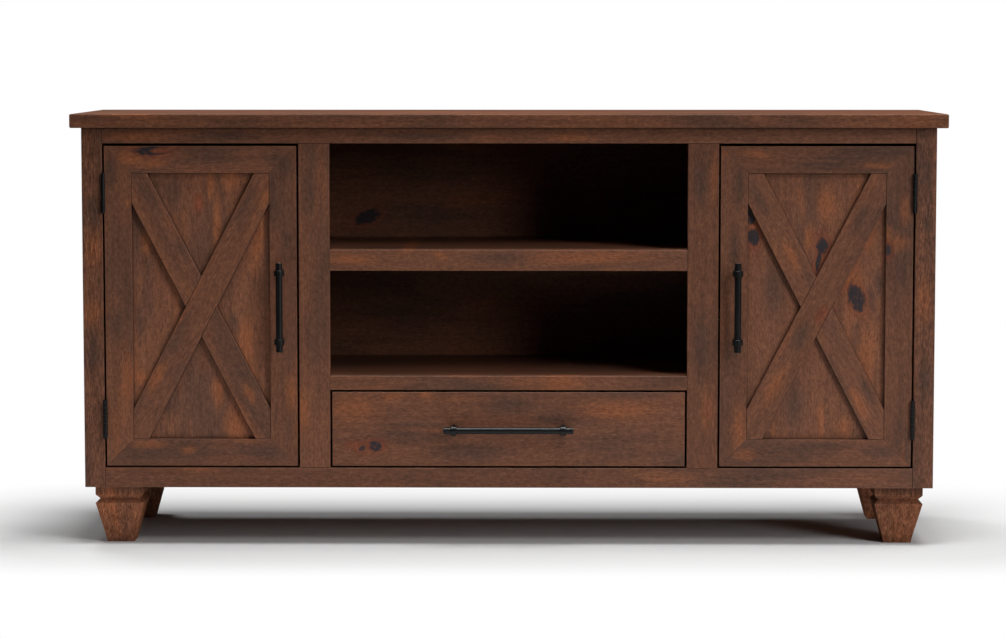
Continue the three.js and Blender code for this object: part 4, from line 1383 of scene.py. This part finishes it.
print("the floor is white", WHITE_IN_FRONT[1], "m in front and", WHITE_BEHIND, "m behind")


# %% The floor itself
FLOOR_HALF = 30

shape = bmesh.new()
bmesh.ops.create_grid(shape, x_segments=1, y_segments=1, size=FLOOR_HALF)
floor = bpy.data.objects.new("floor", to_mesh(shape, "floor"))
floor.data.materials.append(make_floor_material())
bpy.context.scene.collection.objects.link(floor)
floor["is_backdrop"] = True
print("floor is", 2 * FLOOR_HALF, "m wide")

# %% The world
AMBIENT = 0.005
HORIZON_FADE = 0.3

world = bpy.data.worlds.new("studio")
world.use_nodes = True
bpy.context.scene.world = world
sheet = Sheet(world.node_tree)
direction = sheet.add("ShaderNodeTexCoord").outputs["Generated"]
backward = sheet.add("ShaderNodeSeparateXYZ", {0: direction}).outputs["Y"]
seen = shown_white(sheet, sheet.ramp(backward, 0, HORIZON_FADE))
level = sheet.mix(seen, (AMBIENT,) * 3 + (1,), (1, 1, 1, 1))
background = world.node_tree.nodes["Background"]
sheet.tree.links.new(level, background.inputs["Color"])
background.inputs["Strength"].default_value = 1
print("light from all round:", AMBIENT)


# %% [markdown]
# ## Lamps
# The light in the photograph is soft. Most of it comes from high in front and high on the right, so the
# bays stay dark and the top is brighter than the front. A little comes low from the right, which reaches
# into the left of each bay. The strengths were first fitted to the photograph from one render under each
# of forty lamps, and then set one by one. Each lamp is a disk that looks at the middle of the cabinet. Its
# energy makes a surface that faces it as bright as its colour, times the strength.

# %% Lamps from directions
LAMP_DISTANCE = 5
LAMP_SIZE = 1.6
LAMP_AIM = Vector((0, 0, 0.4))
LAMPS = {
    "overhead": (0, 88, 0.18),
    "high front": (0, 76, 0.60),
    "right overhead": (80, 74, 0.64),
    "right shoulder": (40, 38, 0.36),
    "right low": (45, 13, 0.26),
    "back left": (-140, 55, 0.34),
}


def add_lamp(name, azimuth, elevation, strength):
    """The azimuth turns from the front to the right, in degrees."""
    around, up = math.radians(azimuth), math.radians(elevation)
    direction = Vector((math.sin(around) * math.cos(up), -math.cos(around) * math.cos(up), math.sin(up)))
    light = bpy.data.lights.new(name, "AREA")
    light.shape = "DISK"
    light.size = LAMP_SIZE
    light.energy = strength * math.pi ** 2 * LAMP_DISTANCE ** 2
    lamp = bpy.data.objects.new(name, light)
    lamp.location = LAMP_AIM + direction * LAMP_DISTANCE
    lamp.rotation_euler = direction.to_track_quat("Z", "Y").to_euler()
    lamp.visible_camera = False
    bpy.context.scene.collection.objects.link(lamp)


for name, values in LAMPS.items():
    add_lamp(name, *values)
print("lamps:", len(LAMPS))


# %% [markdown]
# ## Camera
# The photograph was taken from almost straight ahead with a long lens. The place of the camera was fitted
# to the corners of the top, the doors, the drawer and the feet. How the sides of the top run together
# tells its distance and its height.

# %% The camera
CAMERA_PLACE = (0.052, -5.8377, 0.9227)
CAMERA_DOWN = 5.02
CAMERA_LEFT = 0.63
LENS = 108.87
SENSOR = 36
VIEW_REACH = 200

view = bpy.data.cameras.new("view")
view.lens = LENS
view.sensor_width = SENSOR
view.clip_end = VIEW_REACH
camera = bpy.data.objects.new("camera", view)
camera.location = CAMERA_PLACE
camera.rotation_euler = (math.radians(90 - CAMERA_DOWN), 0, math.radians(CAMERA_LEFT))
bpy.context.scene.collection.objects.link(camera)
bpy.context.scene.camera = camera
bpy.context.scene.view_settings.view_transform = "Standard"
print("camera height:", CAMERA_PLACE[2])

# %% Note how far the box has moved
visual_box = [list(corner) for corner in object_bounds()]
grown = [round((b - a) * 1000, 2) for low_high in zip(cad_box, visual_box) for a, b in zip(*low_high)]
print("how far the visual model's box has moved, in millimetres:", grown)
